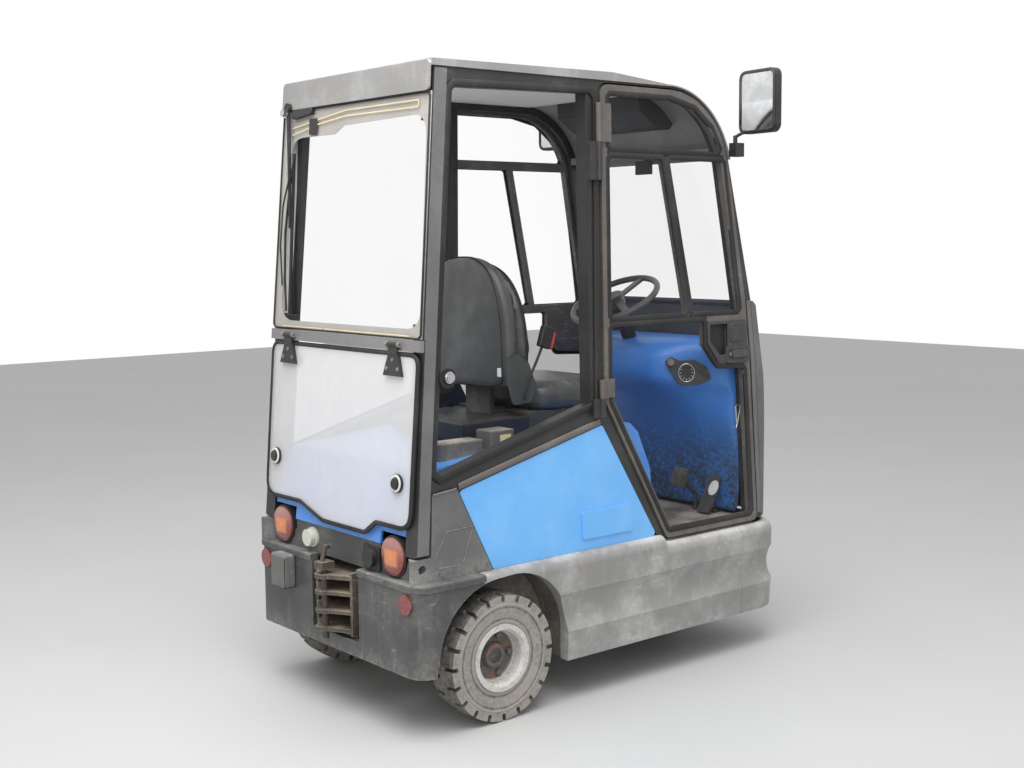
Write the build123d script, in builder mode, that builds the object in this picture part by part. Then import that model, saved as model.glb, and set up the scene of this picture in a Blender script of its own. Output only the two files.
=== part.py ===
from build123d import *
from math import atan, cos, degrees, radians, sin, tan
import os

os.makedirs("parts", exist_ok=True)

# Three-wheeled tow tractor with a glazed cab, in millimetres.
# +X points forward, +Y to the left and +Z up. The ground is Z = 0.

# Overall form
body_half = 498
rear_face_x = -869
front_face_x = 912
sill_z = 145
deck_z = 505
roof_side_z = 2098
moving_gap = 5

# Wheels
tyre_d = 423
tyre_w = 118
tyre_bore_r = 101
rear_axle_x = -528
rear_track_half = 433
front_axle_x = 605
spindle_r = 25
front_pin_r = 15
running_fit = 0.05
seat_gap = 0.3
lug_count = 20
lug_gap = 14
lug_depth = 14
shoulder_drop = 3

# The cab's side walls lean in and its rear wall leans forward as they rise.
side_lean = 1.02
cab_half_at_ground = 476.5
rear_lean = 4.642
rear_wall_at_ground = -912.7

# Cab frame
frame_inner = -60
door_rebate = -33
frame_outer = -8
post_w = 66
glass_t = 5
rear_glass_seat = 6
surround_t = 3
frame_seat = rear_glass_seat + surround_t + 0.4
hatch_seat = 14
mid_rail_low = 1227
mid_rail_high = 1263

# Door
door_t = 28
door_bar = 34
door_rear_x = -38
door_top_z = 2090
door_knee_z = 1017
door_foot_x = 262
door_foot_z = 490
door_front_foot_x = 757
door_arc_r = 307
door_arc_x = 300
door_hinge_x = -58
door_hinge_out = 10
hinge_r = 11
hinge_pin_r = 5
hinge_leaf_w = 40
hinge_spans = ((962, 1088), (1768, 2025))

wheel_z = tyre_d / 2


def rear_x(z, inset=0):
    """X of the leaning rear wall at a height, or of a layer inset from it."""
    return rear_wall_at_ground + tan(radians(rear_lean)) * z + inset / cos(radians(rear_lean))


def side_y(z, out=0):
    """Half width of the leaning side wall at a height, for a layer that lies out from it."""
    return cab_half_at_ground - tan(radians(side_lean)) * z + out / cos(radians(side_lean))


def side_plane(out=0):
    """The right side wall, drawn as X and height, with its normal pointing outward."""
    lean = radians(side_lean)
    wall = Plane(origin=(0, -cab_half_at_ground, 0), x_dir=(1, 0, 0), z_dir=(0, -cos(lean), sin(lean)))
    return wall.offset(out)


def rear_plane(out=0):
    """The rear wall, drawn as seen from behind, with its normal pointing outward."""
    lean = radians(rear_lean)
    wall = Plane(origin=(rear_wall_at_ground, 0, 0), x_dir=(0, -1, 0), z_dir=(-cos(lean), 0, sin(lean)))
    return wall.offset(out)


def rear_up(z):
    """Height along the leaning rear wall for a height above the ground."""
    return z / cos(radians(rear_lean))


def trim_between_sides(out):
    """Cut the part being built to the space between the two side walls."""
    split(bisect_by=side_plane(out), keep=Keep.BOTTOM)
    mirror_wall = Plane(
        origin=(0, side_y(0, out), 0),
        x_dir=(-1, 0, 0),
        z_dir=(0, cos(radians(side_lean)), sin(radians(side_lean))),
    )
    split(bisect_by=mirror_wall, keep=Keep.BOTTOM)


def slab(x_range, y_range, z_range, mode=Mode.ADD):
    """Add a plain block to the part being built."""
    with BuildSketch(Plane.XY.offset(z_range[0])) as foot:
        with Locations((sum(x_range) / 2, sum(y_range) / 2)):
            Rectangle(x_range[1] - x_range[0], y_range[1] - y_range[0])
    extrude(foot.sketch, amount=z_range[1] - z_range[0], mode=mode)


def profile_bar(points, y_range, mode=Mode.ADD):
    """Add a bar with a given side view, between two distances from the centre plane."""
    with BuildSketch(Plane.XZ.offset(-y_range[1])) as outline:
        with BuildLine():
            Polyline(*points, close=True)
        make_face()
    extrude(outline.sketch, amount=y_range[1] - y_range[0], mode=mode)


def rod(start, end, radius, mode=Mode.ADD):
    """Add a round rod between two points."""
    run = Vector(*end) - Vector(*start)
    with BuildSketch(Plane(origin=start, z_dir=run)) as section:
        Circle(radius)
    extrude(section.sketch, amount=run.length, mode=mode)


# Rear body: a cast shell round the back, open for the coupling and cut by the wheel arches.
body_wall = 25
body_corner_r = 60
body_low_z = 205
deck_top_z = 494
body_front_x = -606
coupling_left_y = 126
coupling_right_y = -162
coupling_sill_z = 255
arch_rear = (-540, 230, 252)
lip_out = 8
lip_t = 22

with BuildPart() as rear_body:
    with BuildSketch(Plane.XY.offset(body_low_z)):
        with BuildLine():
            Polyline(
                (body_front_x, body_half),
                (rear_face_x, body_half),
                (rear_face_x, -body_half),
                (body_front_x, -body_half),
                (body_front_x, body_half),
            )
        make_face()
    extrude(amount=deck_z - body_low_z)
    fillet(rear_body.edges().filter_by(Axis.Z).group_by(Axis.X)[0], body_corner_r)
    with BuildSketch(Plane.XY.offset(deck_z)):
        with BuildLine():
            Polyline(
                (body_front_x, body_half + lip_out),
                (rear_face_x - lip_out, body_half + lip_out),
                (rear_face_x - lip_out, -body_half - lip_out),
                (body_front_x, -body_half - lip_out),
                (body_front_x, body_half + lip_out),
            )
        make_face()
    lip = extrude(amount=-lip_t)
    lip_corners = rear_body.edges().filter_by(Axis.Z).group_by(Axis.X)[0]
    fillet(lip_corners, body_corner_r + lip_out)
    top_rim = rear_body.faces().sort_by(Axis.Z)[-1].outer_wire().edges()
    fillet([e for e in top_rim if e.center().X < body_front_x - 1], 9)
    with BuildSketch(Plane.XY.offset(body_low_z - 1)):
        with BuildLine():
            Polyline(
                (body_front_x + 1, body_half - body_wall),
                (rear_face_x + body_wall, body_half - body_wall),
                (rear_face_x + body_wall, body_wall - body_half),
                (body_front_x + 1, body_wall - body_half),
                (body_front_x + 1, body_half - body_wall),
            )
        make_face()
    extrude(amount=deck_top_z + seat_gap - body_low_z + 1, mode=Mode.SUBTRACT)
    with BuildSketch(Plane.XZ.offset(-body_half - lip_out - 1)):
        with Locations((arch_rear[0], arch_rear[1])):
            Circle(arch_rear[2])
        with Locations((arch_rear[0], body_low_z)):
            Rectangle(2 * arch_rear[2] + 14, 70)
    extrude(amount=2 * (body_half + lip_out + 1), mode=Mode.SUBTRACT)
    with BuildSketch(Plane.YZ.offset(rear_face_x - 20)):
        with BuildLine():
            Polyline(
                (coupling_left_y, coupling_sill_z),
                (coupling_left_y, deck_z + 1),
                (coupling_right_y, deck_z + 1),
                (coupling_right_y, coupling_sill_z),
                (coupling_left_y, coupling_sill_z),
            )
        make_face()
    extrude(amount=115, mode=Mode.SUBTRACT)
    with BuildSketch(Plane.XY.offset(deck_z - 20)):
        with Locations((body_front_x - 60, 0)):
            Rectangle(126, 650)
    extrude(amount=40, mode=Mode.SUBTRACT)
rear_body.part.label = "rear_body"
export_step(rear_body.part, "parts/rear_body.step")

# Chassis: a tub for the battery, wheel-arch liners, the footwell floor and the front steering boss.
tub_half = 345
tub_wall = 12
tub_floor_z = 300
tub_rear_x = -740
tub_front_x = 250
floor_t = 12
floor_half = 432
skirt_inner_y = 455
arch_front = (-475, 257, 228)
arch_low_z = 150
liner_gap = 4
liner_t = 4
beam_inner_y = 425
beam_low_z = 405
tunnel_beam_y = 245
crossmember_x = 838
bumper_inner_x = 869
boss_r = 78
boss_low_z = 452
kingpin_r = 25
kingpin_top_z = 478


def arch_region(grow):
    """Side view of the wheel arch's opening, grown outward and open at its foot."""
    rear_x_, rear_z, rear_r = arch_rear
    front_x_, front_z, front_r = arch_front
    rear_r += grow
    front_r += grow
    low = arch_low_z - 60
    with BuildSketch(Plane.XZ) as region:
        with BuildLine():
            Line((rear_x_ - rear_r, low), (rear_x_ - rear_r, rear_z))
            RadiusArc((rear_x_ - rear_r, rear_z), (rear_x_, rear_z + rear_r), rear_r)
            Line((rear_x_, rear_z + rear_r), (front_x_, front_z + front_r))
            RadiusArc((front_x_, front_z + front_r), (front_x_ + front_r, front_z), front_r)
            Line((front_x_ + front_r, front_z), (front_x_ + front_r, low))
            Line((front_x_ + front_r, low), (rear_x_ - rear_r, low))
        make_face()
    return region.sketch


liner_front_x = arch_front[0] + arch_front[2] + liner_gap + liner_t

with BuildPart() as chassis:
    with BuildSketch(Plane.XY.offset(tub_floor_z)):
        with Locations(((tub_rear_x + tub_front_x) / 2, 0)):
            Rectangle(tub_front_x - tub_rear_x, 2 * tub_half)
    extrude(amount=deck_top_z - tub_floor_z)
    with BuildSketch(Plane.XY.offset(tub_floor_z + tub_wall)):
        with Locations(((tub_rear_x + tub_front_x) / 2, 0)):
            Rectangle(tub_front_x - tub_rear_x - 2 * tub_wall, 2 * (tub_half - tub_wall))
    extrude(amount=deck_top_z, mode=Mode.SUBTRACT)
    with BuildSketch(Plane.XZ.offset(-skirt_inner_y)):
        add(arch_region(liner_gap + liner_t))
        add(arch_region(liner_gap), mode=Mode.SUBTRACT)
        with Locations((arch_rear[0] - 150, 120)):
            Rectangle(400, 170, mode=Mode.SUBTRACT)
        with Locations((0, 60)):
            Rectangle(1200, 180, mode=Mode.SUBTRACT)
    extrude(amount=skirt_inner_y - tub_half)
    with BuildSketch(Plane.XY.offset(deck_top_z - floor_t)):
        with BuildLine():
            Polyline(
                (liner_front_x, tub_half),
                (liner_front_x, floor_half),
                (crossmember_x - 60, floor_half),
                (crossmember_x + floor_t, floor_half - 72),
                (crossmember_x + floor_t, 0),
                (tub_front_x, 0),
                (tub_front_x, tub_half),
                (liner_front_x, tub_half),
            )
        make_face()
    extrude(amount=floor_t)
    with BuildSketch(Plane.XZ.offset(-skirt_inner_y)):
        with BuildLine():
            Polyline(
                (liner_front_x, beam_low_z),
                (crossmember_x - 95, beam_low_z),
                (crossmember_x - 95, deck_top_z - floor_t),
                (liner_front_x, deck_top_z - floor_t),
                (liner_front_x, beam_low_z),
            )
        make_face()
    extrude(amount=skirt_inner_y - beam_inner_y)
    with BuildSketch(Plane.XY.offset(beam_low_z + 20)):
        with Locations(((tub_front_x + crossmember_x) / 2, tunnel_beam_y + 15)):
            Rectangle(crossmember_x - tub_front_x, 30)
    extrude(amount=deck_top_z - floor_t - beam_low_z - 20)
    with BuildSketch(Plane.XY.offset(sill_z + 150)):
        with Locations((crossmember_x + floor_t / 2, (skirt_inner_y - 80) / 2)):
            Rectangle(floor_t, skirt_inner_y - 80)
        with Locations(((crossmember_x + floor_t + bumper_inner_x) / 2, 220)):
            Rectangle(bumper_inner_x - crossmember_x - floor_t, 40)
    extrude(amount=deck_top_z - floor_t - sill_z - 150)
    mirror(about=Plane.XZ)
    with BuildSketch(Plane.XY.offset(boss_low_z)):
        with Locations((front_axle_x, 0)):
            Circle(boss_r)
    extrude(amount=deck_top_z - floor_t - boss_low_z)
    with BuildSketch(Plane.XY.offset(boss_low_z)):
        with Locations((front_axle_x, 0)):
            Circle(kingpin_r + running_fit)
    extrude(amount=kingpin_top_z + 2 - boss_low_z, mode=Mode.SUBTRACT)
chassis.part.label = "chassis"
export_step(chassis.part, "parts/chassis.step")

# Drive axle: gear housing, tubes, drums and the spindles that the rear rims turn on.
axle_tube_r = 40
gear_housing_r = 85
gear_housing_half = 75
drive_motor_r = 74
drive_motor_len = 250
drum_r = 80
drum_inner_y = 352
drum_outer_y = 392
spindle_end_y = 446
axle_pad_y = 250
axle_plane = Plane(origin=(rear_axle_x, 0, wheel_z), x_dir=(1, 0, 0), z_dir=(0, -1, 0))

with BuildPart() as drive_axle:
    for radius, half in (
        (axle_tube_r, drum_inner_y),
        (gear_housing_r, gear_housing_half),
        (spindle_r, spindle_end_y),
    ):
        with BuildSketch(axle_plane.offset(-half)):
            Circle(radius)
        extrude(amount=2 * half)
    for side in (-1, 1):
        with BuildSketch(axle_plane.offset(side * drum_inner_y)):
            Circle(drum_r)
        extrude(amount=side * (drum_outer_y - drum_inner_y))
        with BuildSketch(Plane.XY.offset(tub_floor_z)):
            with Locations((rear_axle_x, side * axle_pad_y)):
                Rectangle(80, 60)
        extrude(amount=-(tub_floor_z - wheel_z - axle_tube_r / 2))
    with BuildSketch(Plane.YZ.offset(rear_axle_x)):
        with Locations((0, wheel_z)):
            Circle(drive_motor_r)
    extrude(amount=drive_motor_len)
drive_axle.part.label = "drive_axle"
export_step(drive_axle.part, "parts/drive_axle.step")

# Battery: one plain block standing in the tub.
battery_x = (-640, 130)
battery_half = 310
battery_top_z = 790

with BuildPart() as battery:
    with BuildSketch(Plane.XY.offset(tub_floor_z + tub_wall)):
        with Locations((sum(battery_x) / 2, 0)):
            Rectangle(battery_x[1] - battery_x[0], 2 * battery_half)
    extrude(amount=battery_top_z - tub_floor_z - tub_wall)
battery.part.label = "battery"
export_step(battery.part, "parts/battery.step")

# Wheels. Profiles are drawn with the axial distance to the right and the radius up.
bead_half = 50
rim_flange_r = 112
rim_barrel_t = 9
rim_disc_t = 10
rim_hub_r = 46
stud_circle_r = 66
stud_count = 5


def wheel_profile_plane(axle_x, centre_y, out):
    """Section plane through a wheel's axis, with local X pointing outward along the axle."""
    return Plane(origin=(axle_x, centre_y, wheel_z), x_dir=(0, out, 0), z_dir=(out, 0, 0))


def lug_slot(plane):
    """Cutter for one gap between two shoulder lugs, at the top of the wheel."""
    outer_r = tyre_d / 2
    half = tyre_w / 2
    with BuildPart() as slot:
        with BuildSketch(plane.offset(-lug_gap / 2)):
            with BuildLine():
                Polyline(
                    (10, outer_r + 3),
                    (10, outer_r - lug_depth),
                    (half + 3, outer_r - lug_depth - 12),
                    (half + 3, outer_r + 3),
                    (10, outer_r + 3),
                )
            make_face()
        extrude(amount=lug_gap)
    return slot.part


def make_tyre(axle_x, centre_y, out):
    """Solid tyre with staggered shoulder lugs on both sides of a closed centre rib."""
    plane = wheel_profile_plane(axle_x, centre_y, out)
    axis = Axis((axle_x, centre_y, wheel_z), (0, 1, 0))
    outer_r = tyre_d / 2
    half = tyre_w / 2
    shoulder_r = outer_r - 30
    slot = lug_slot(plane)
    flipped_slot = slot.mirror(Plane.XZ.offset(-centre_y))
    with BuildPart() as tyre:
        with BuildSketch(plane):
            with BuildLine() as outline:
                Polyline((0, tyre_bore_r), (bead_half, tyre_bore_r), (bead_half, rim_flange_r + 2))
                Polyline(
                    (bead_half, rim_flange_r + 2),
                    (half, shoulder_r - 10),
                    (half, outer_r - shoulder_drop),
                    (0, outer_r),
                )
                mirror(outline.line, about=Plane.YZ)
            make_face()
        revolve(axis=axis)
        pitch = 360 / lug_count
        near = [slot.rotate(axis, step * pitch) for step in range(lug_count)]
        far = [flipped_slot.rotate(axis, (step + 0.5) * pitch) for step in range(lug_count)]
        add(near + far, mode=Mode.SUBTRACT)
    return tyre.part


def make_rim(axle_x, centre_y, out, bore_r, hub_half):
    """Dished rim with a deep disc, a hub and its wheel nuts."""
    plane = wheel_profile_plane(axle_x, centre_y, out)
    axis = Axis((axle_x, centre_y, wheel_z), (0, 1, 0))
    barrel_r = tyre_bore_r - rim_barrel_t
    with BuildPart() as rim:
        with BuildSketch(plane):
            with BuildLine():
                Polyline(
                    (-bead_half - 6, rim_flange_r),
                    (-bead_half, rim_flange_r),
                    (-bead_half, tyre_bore_r),
                    (bead_half, tyre_bore_r),
                    (bead_half, rim_flange_r),
                    (bead_half + 6, rim_flange_r),
                    (bead_half + 6, barrel_r + 4),
                    (bead_half - 6, barrel_r - 4),
                    (10, barrel_r - 8),
                    (0, barrel_r - 16),
                    (0, rim_hub_r),
                    (hub_half, rim_hub_r - 8),
                    (hub_half, bore_r),
                    (-hub_half, bore_r),
                    (-hub_half, rim_hub_r),
                    (-rim_disc_t, rim_hub_r),
                    (-rim_disc_t, barrel_r),
                    (-bead_half - 6, barrel_r),
                    (-bead_half - 6, rim_flange_r),
                )
            make_face()
        revolve(axis=axis)
        with BuildSketch(Plane(origin=(axle_x, centre_y, wheel_z), x_dir=(1, 0, 0), z_dir=(0, out, 0))):
            with PolarLocations(stud_circle_r, stud_count):
                RegularPolygon(12, 6)
        extrude(amount=12)
    return rim.part


rear_wheels = (("left", 1), ("right", -1))
for side_name, out in rear_wheels:
    tyre = make_tyre(rear_axle_x, out * rear_track_half, out)
    tyre.label = f"tyre_rear_{side_name}"
    export_step(tyre, f"parts/tyre_rear_{side_name}.step")
    rim = make_rim(rear_axle_x, out * rear_track_half, out, spindle_r + running_fit, 16)
    rim.label = f"rim_rear_{side_name}"
    export_step(rim, f"parts/rim_rear_{side_name}.step")

tyre_front = make_tyre(front_axle_x, 0, -1)
tyre_front.label = "tyre_front"
export_step(tyre_front, "parts/tyre_front.step")
rim_front = make_rim(front_axle_x, 0, -1, front_pin_r + running_fit, bead_half)
rim_front.label = "rim_front"
export_step(rim_front, "parts/rim_front.step")

# Steering fork: carries the single front wheel and turns on its kingpin.
fork_gap_half = tyre_w / 2 + 9
fork_leg_t = 14
fork_leg_half = 46
fork_plate_low_z = 436
fork_plate_t = 12

with BuildPart() as steering_fork:
    for side in (-1, 1):
        with BuildSketch(axle_plane.offset(side * fork_gap_half)):
            with Locations((front_axle_x - rear_axle_x, 0)):
                Circle(fork_leg_half)
            with Locations((front_axle_x - rear_axle_x, (fork_plate_low_z - wheel_z) / 2)):
                Rectangle(2 * fork_leg_half, fork_plate_low_z - wheel_z)
        extrude(amount=side * fork_leg_t)
    with BuildSketch(axle_plane.offset(-fork_gap_half)):
        with Locations((front_axle_x - rear_axle_x, 0)):
            Circle(front_pin_r)
    extrude(amount=2 * fork_gap_half)
    with BuildSketch(Plane.XY.offset(fork_plate_low_z)):
        with Locations((front_axle_x, 0)):
            Circle(fork_gap_half + fork_leg_t + 16)
    extrude(amount=fork_plate_t)
    with BuildSketch(Plane.XY.offset(fork_plate_low_z + fork_plate_t)):
        with Locations((front_axle_x, 0)):
            Circle(kingpin_r + 22)
    extrude(amount=boss_low_z - fork_plate_low_z - fork_plate_t - 0.3)
    with BuildSketch(Plane.XY.offset(fork_plate_low_z)):
        with Locations((front_axle_x, 0)):
            Circle(kingpin_r)
    extrude(amount=kingpin_top_z - fork_plate_low_z)
steering_fork.part.label = "steering_fork"
export_step(steering_fork.part, "parts/steering_fork.step")

# Side skirts and the front bumper share one section: a rounded top edge, an overhanging lip and
# a concave groove below it.
skirt_top_z = 477
skirt_step_x = 230
skirt_front_x = 640
skirt_edge_r = 40
groove_top_z = 380
groove_low_z = 247
groove_depth = 18
skirt_tuck = 6
front_corner_r = 165


def skirt_section(plane, top_z):
    """Section of the skirt, with local X as the distance out from its inner face."""
    depth = body_half - skirt_inner_y
    low = (depth - skirt_edge_r * 0.9, top_z)
    high = (depth, top_z - skirt_edge_r)
    with BuildSketch(plane) as section:
        with BuildLine():
            Line((0, top_z), low)
            ThreePointArc(low, (depth - skirt_edge_r * 0.27, top_z - skirt_edge_r * 0.29), high)
            Polyline(high, (depth, groove_top_z), (depth - 4, groove_top_z - 6))
            ThreePointArc(
                (depth - 4, groove_top_z - 6),
                (depth - groove_depth, (groove_top_z + groove_low_z) / 2),
                (depth, groove_low_z),
            )
            Polyline((depth, groove_low_z), (depth - skirt_tuck, sill_z), (0, sill_z), (0, top_z))
        make_face()
    return section.sketch


def skirt_plane(x):
    """Section plane of the left skirt at a distance forward."""
    return Plane(origin=(x, skirt_inner_y, 0), x_dir=(0, 1, 0), z_dir=(1, 0, 0))


with BuildPart() as side_skirts:
    extrude(
        skirt_section(skirt_plane(body_front_x + 2), deck_z),
        amount=skirt_step_x - body_front_x - 2,
    )
    extrude(
        skirt_section(skirt_plane(skirt_step_x - 1), skirt_top_z),
        amount=skirt_front_x - skirt_step_x + 1,
    )
    with BuildSketch(Plane.XZ.offset(-body_half - 1)):
        add(arch_region(0))
    extrude(amount=body_half - skirt_inner_y + 2, mode=Mode.SUBTRACT)
    mirror(about=Plane.XZ)
side_skirts.part.label = "side_skirts"
export_step(side_skirts.part, "parts/side_skirts.step")

bumper_start_x = skirt_front_x + 2
inner_corner_r = front_corner_r - (body_half - skirt_inner_y)

with BuildPart() as front_bumper:
    with BuildLine() as front_path:
        corner_x = front_face_x - front_corner_r
        corner_y = body_half - front_corner_r
        Line((bumper_start_x, skirt_inner_y, 0), (corner_x, skirt_inner_y, 0))
        ThreePointArc(
            (corner_x, skirt_inner_y, 0),
            (
                corner_x + inner_corner_r * sin(radians(45)),
                corner_y + inner_corner_r * cos(radians(45)),
                0,
            ),
            (bumper_inner_x, corner_y, 0),
        )
        Line((bumper_inner_x, corner_y, 0), (bumper_inner_x, 0, 0))
    sweep(skirt_section(skirt_plane(bumper_start_x), skirt_top_z), path=front_path.wire())
    mirror(about=Plane.XZ)
front_bumper.part.label = "front_bumper"
export_step(front_bumper.part, "parts/front_bumper.step")

# Cab sides. Outlines are drawn on the side wall, as X and height.
frame_top_z = 2103
frame_arc_r = 320
frame_foot_z = 496
c_post_inner = -23
door_gap = 7
rebate_step = 20
window_seat = 14
b_post_rear_x = -100
screen_top = (614, 1852)
screen_foot = (734, 1333)
a_post = ((761, 1104), (782, 744), (790, frame_foot_z))
side_window = ((-682, 2060), (-54, 2074), (-62, 1002), (-784, 807))
door_front_edge = ((718, 1090), (694, 1335))
door_top_corner_r = 35
door_foot_r = 22


def arc_point(radius, angle):
    """Point on the arc that the roof, the frame and the door's front corner share."""
    spin = radians(angle)
    return (door_arc_x + radius * cos(spin), door_top_z - door_arc_r + radius * sin(spin))


def door_face(grow=0):
    """Outline of the door, grown by a gap where it cuts the frame."""
    arc_end = arc_point(door_arc_r, 10)
    with BuildSketch() as outline:
        with BuildLine():
            Polyline(
                (door_arc_x, door_top_z),
                (door_rear_x, door_top_z),
                (door_rear_x, door_knee_z),
                (door_foot_x, door_foot_z),
                (door_front_foot_x, door_foot_z),
                *door_front_edge,
                arc_end,
            )
            ThreePointArc(arc_end, arc_point(door_arc_r, 50), (door_arc_x, door_top_z))
        make_face()
        rear_vertices = outline.vertices().sort_by(Axis.X)[:2]
        fillet(rear_vertices, door_top_corner_r)
        fillet(outline.vertices().group_by(Axis.Y)[0], door_foot_r)
        if grow:
            offset(amount=grow, mode=Mode.REPLACE)
    return outline.sketch


def frame_face():
    """Silhouette of the side frame, from the rear wall to the A-post."""
    arc_end = arc_point(frame_arc_r, 12.5)
    rail_z = mid_rail_high + 2
    with BuildSketch() as outline:
        with BuildLine():
            Polyline(
                (door_arc_x, frame_top_z),
                (rear_x(frame_top_z, frame_seat), frame_top_z),
                (rear_x(rail_z, frame_seat), rail_z),
                (rear_x(rail_z, hatch_seat), rail_z),
                (rear_x(588, hatch_seat), 588),
                (rear_x(588, 66), 588),
                (-784, 778),
                (-687, 790),
                (-675, 779),
                (-45, 933),
                (217, deck_z + 2),
                (skirt_step_x + 4, deck_z + 2),
                (skirt_step_x + 4, frame_foot_z),
                *reversed(a_post),
                screen_foot,
                arc_end,
            )
            ThreePointArc(arc_end, arc_point(frame_arc_r, 50), (door_arc_x, frame_top_z))
        make_face()
    return outline.sketch


def window_face(inset=0):
    """Side window's glass outline, or the smaller opening behind it."""
    with BuildSketch() as outline:
        with BuildLine():
            Polyline(*side_window, close=True)
        make_face()
        fillet(outline.vertices(), 25)
        if inset:
            offset(amount=-inset, mode=Mode.REPLACE)
            with Locations((b_post_rear_x - 500, 1400)):
                Rectangle(1000, 2000, mode=Mode.INTERSECT)
    return outline.sketch


def hinge_plane(z):
    """Plane square to the right door's hinge axis, with local X forward and local Y inward."""
    lean = radians(side_lean)
    up = Vector(0, sin(lean), cos(lean))
    foot = side_plane(door_hinge_out).origin + up * z
    return Plane(origin=(door_hinge_x, foot.Y, foot.Z), x_dir=(1, 0, 0), z_dir=up)


with BuildPart() as side_frames:
    with BuildSketch(side_plane(frame_inner)):
        add(frame_face())
        add(window_face(window_seat), mode=Mode.SUBTRACT)
        add(door_face(-rebate_step), mode=Mode.SUBTRACT)
    extrude(amount=door_rebate - frame_inner)
    with BuildSketch(side_plane(door_rebate)):
        add(frame_face())
        add(window_face(window_seat), mode=Mode.SUBTRACT)
        add(door_face(door_gap), mode=Mode.SUBTRACT)
    extrude(amount=frame_outer - door_rebate)
    with BuildSketch(side_plane(frame_outer)):
        with BuildLine():
            Polyline(
                (rear_x(2098, frame_seat), 2098),
                (rear_x(1265, frame_seat), 1265),
                (rear_x(1265, hatch_seat), 1265),
                (rear_x(592, hatch_seat), 592),
                (rear_x(592, 62), 592),
                (-788, 800),
                (-686, 2066),
                (-684, 2098),
                (rear_x(2098, frame_seat), 2098),
            )
        make_face()
    extrude(amount=-frame_outer)
    with BuildSketch(side_plane(frame_inner - 1)):
        with BuildLine():
            Polyline((-900, 1312), (-732, 1312), (-706, 1940), (-900, 1940), (-900, 1312))
        make_face()
    extrude(amount=c_post_inner - frame_inner + 1, mode=Mode.SUBTRACT)
    for low, high in hinge_spans:
        with BuildSketch(hinge_plane(low)):
            Circle(hinge_r)
            with Locations((-hinge_leaf_w / 2, (door_hinge_out - frame_outer) / 2)):
                Rectangle(hinge_leaf_w, door_hinge_out - frame_outer + 1)
        extrude(amount=(high - low) / 2 - 1)
        with BuildSketch(hinge_plane(low)):
            Circle(hinge_pin_r)
        extrude(amount=high - low - 8)
    mirror(about=Plane.XZ)
side_frames.part.label = "side_frames"
export_step(side_frames.part, "parts/side_frames.step")

# Doors: a frame of bars with panes, a lock console, and lift-off hinge barrels on the rear edge.
upper_bar_z = (1848, 1878)
lower_bar_z = (1268, 1298)
pane_divider = ((259, 1851), (283, 1851), (405, 1290), (381, 1290))
lock_console = ((471, 1275), (471, 1178), (535, 1105), (700, 1090), (740, 1090), (740, 1275))
lock_recess = ((480, 1262), (480, 1183), (541, 1114), (560, 1112), (632, 1168), (632, 1262))
glass_out = -17
glass_gap = 0.2


def door_opening(low, high):
    """The door's opening between two heights, inside its outer bars."""
    with BuildSketch() as opening:
        add(door_face())
        offset(amount=-door_bar, mode=Mode.REPLACE)
        with Locations((350, (low + high) / 2)):
            Rectangle(1200, high - low, mode=Mode.INTERSECT)
    return opening.sketch


def door_openings():
    """The three glazed openings: above the upper bar, between the bars, and below the lock."""
    upper = door_opening(upper_bar_z[1], door_top_z)
    middle = door_opening(lower_bar_z[1], upper_bar_z[0])
    lower = door_opening(0, lower_bar_z[0])
    with BuildSketch() as split_middle:
        add(middle)
        with BuildLine():
            Polyline(*pane_divider, close=True)
        make_face(mode=Mode.SUBTRACT)
    with BuildSketch() as beside_console:
        add(lower)
        with BuildLine():
            Polyline(*lock_console, close=True)
        make_face(mode=Mode.SUBTRACT)
    return upper, split_middle.sketch, beside_console.sketch


upper_opening, middle_opening, lower_opening = door_openings()

with BuildPart() as door_frame_right:
    with BuildSketch(side_plane(-door_t)):
        add(door_face())
        add(upper_opening, mode=Mode.SUBTRACT)
        add(middle_opening, mode=Mode.SUBTRACT)
        add(lower_opening, mode=Mode.SUBTRACT)
    extrude(amount=door_t)
    with BuildSketch(side_plane(-14)):
        with BuildLine():
            Polyline(*lock_recess, close=True)
        make_face()
    extrude(amount=20, mode=Mode.SUBTRACT)
    for low, high in hinge_spans:
        middle_z = (low + high) / 2
        with BuildSketch(hinge_plane(middle_z)):
            Circle(hinge_r)
            with Locations((14, door_hinge_out / 2)):
                Rectangle(28, door_hinge_out - 0.6)
        extrude(amount=(high - low) / 2)
        with BuildSketch(side_plane(0)):
            with Locations((door_hinge_x + 40, (middle_z + high) / 2)):
                Rectangle(46, (high - low) / 2)
        extrude(amount=4.5)
        with BuildSketch(hinge_plane(middle_z - 2)):
            Circle(hinge_pin_r + running_fit)
        extrude(amount=(high - low) / 2 - 5, mode=Mode.SUBTRACT)

with BuildPart() as door_glass_right:
    for opening in (upper_opening, middle_opening, lower_opening):
        with BuildSketch(side_plane(glass_out)):
            add(opening)
            offset(amount=-glass_gap, mode=Mode.REPLACE)
        extrude(amount=glass_t)

with BuildPart() as door_latch_right:
    with BuildSketch(side_plane(0.3)):
        with Locations((646, 1135)):
            RectangleRounded(128, 62, 8)
    extrude(amount=7)
    with BuildSketch(side_plane(5)):
        with Locations((650, 1138)):
            RectangleRounded(82, 30, 6)
    extrude(amount=9)
    with BuildSketch(side_plane(-door_t - 4.5)):
        with Locations((710, 900)):
            RectangleRounded(26, 110, 6)
    extrude(amount=4.2)

door_pieces = (
    ("door_frame", door_frame_right.part),
    ("door_glass", door_glass_right.part),
    ("door_latch", door_latch_right.part),
)
for piece_name, piece in door_pieces:
    piece.label = f"{piece_name}_right"
    export_step(piece, f"parts/{piece_name}_right.step")
    other = piece.mirror(Plane.XZ)
    other.label = f"{piece_name}_left"
    export_step(other, f"parts/{piece_name}_left.step")

# Cross rails join the side frames behind the cab and over the windscreen.
rail_depth = 52
rail_gap = 0.3
fascia_t = 8

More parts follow.
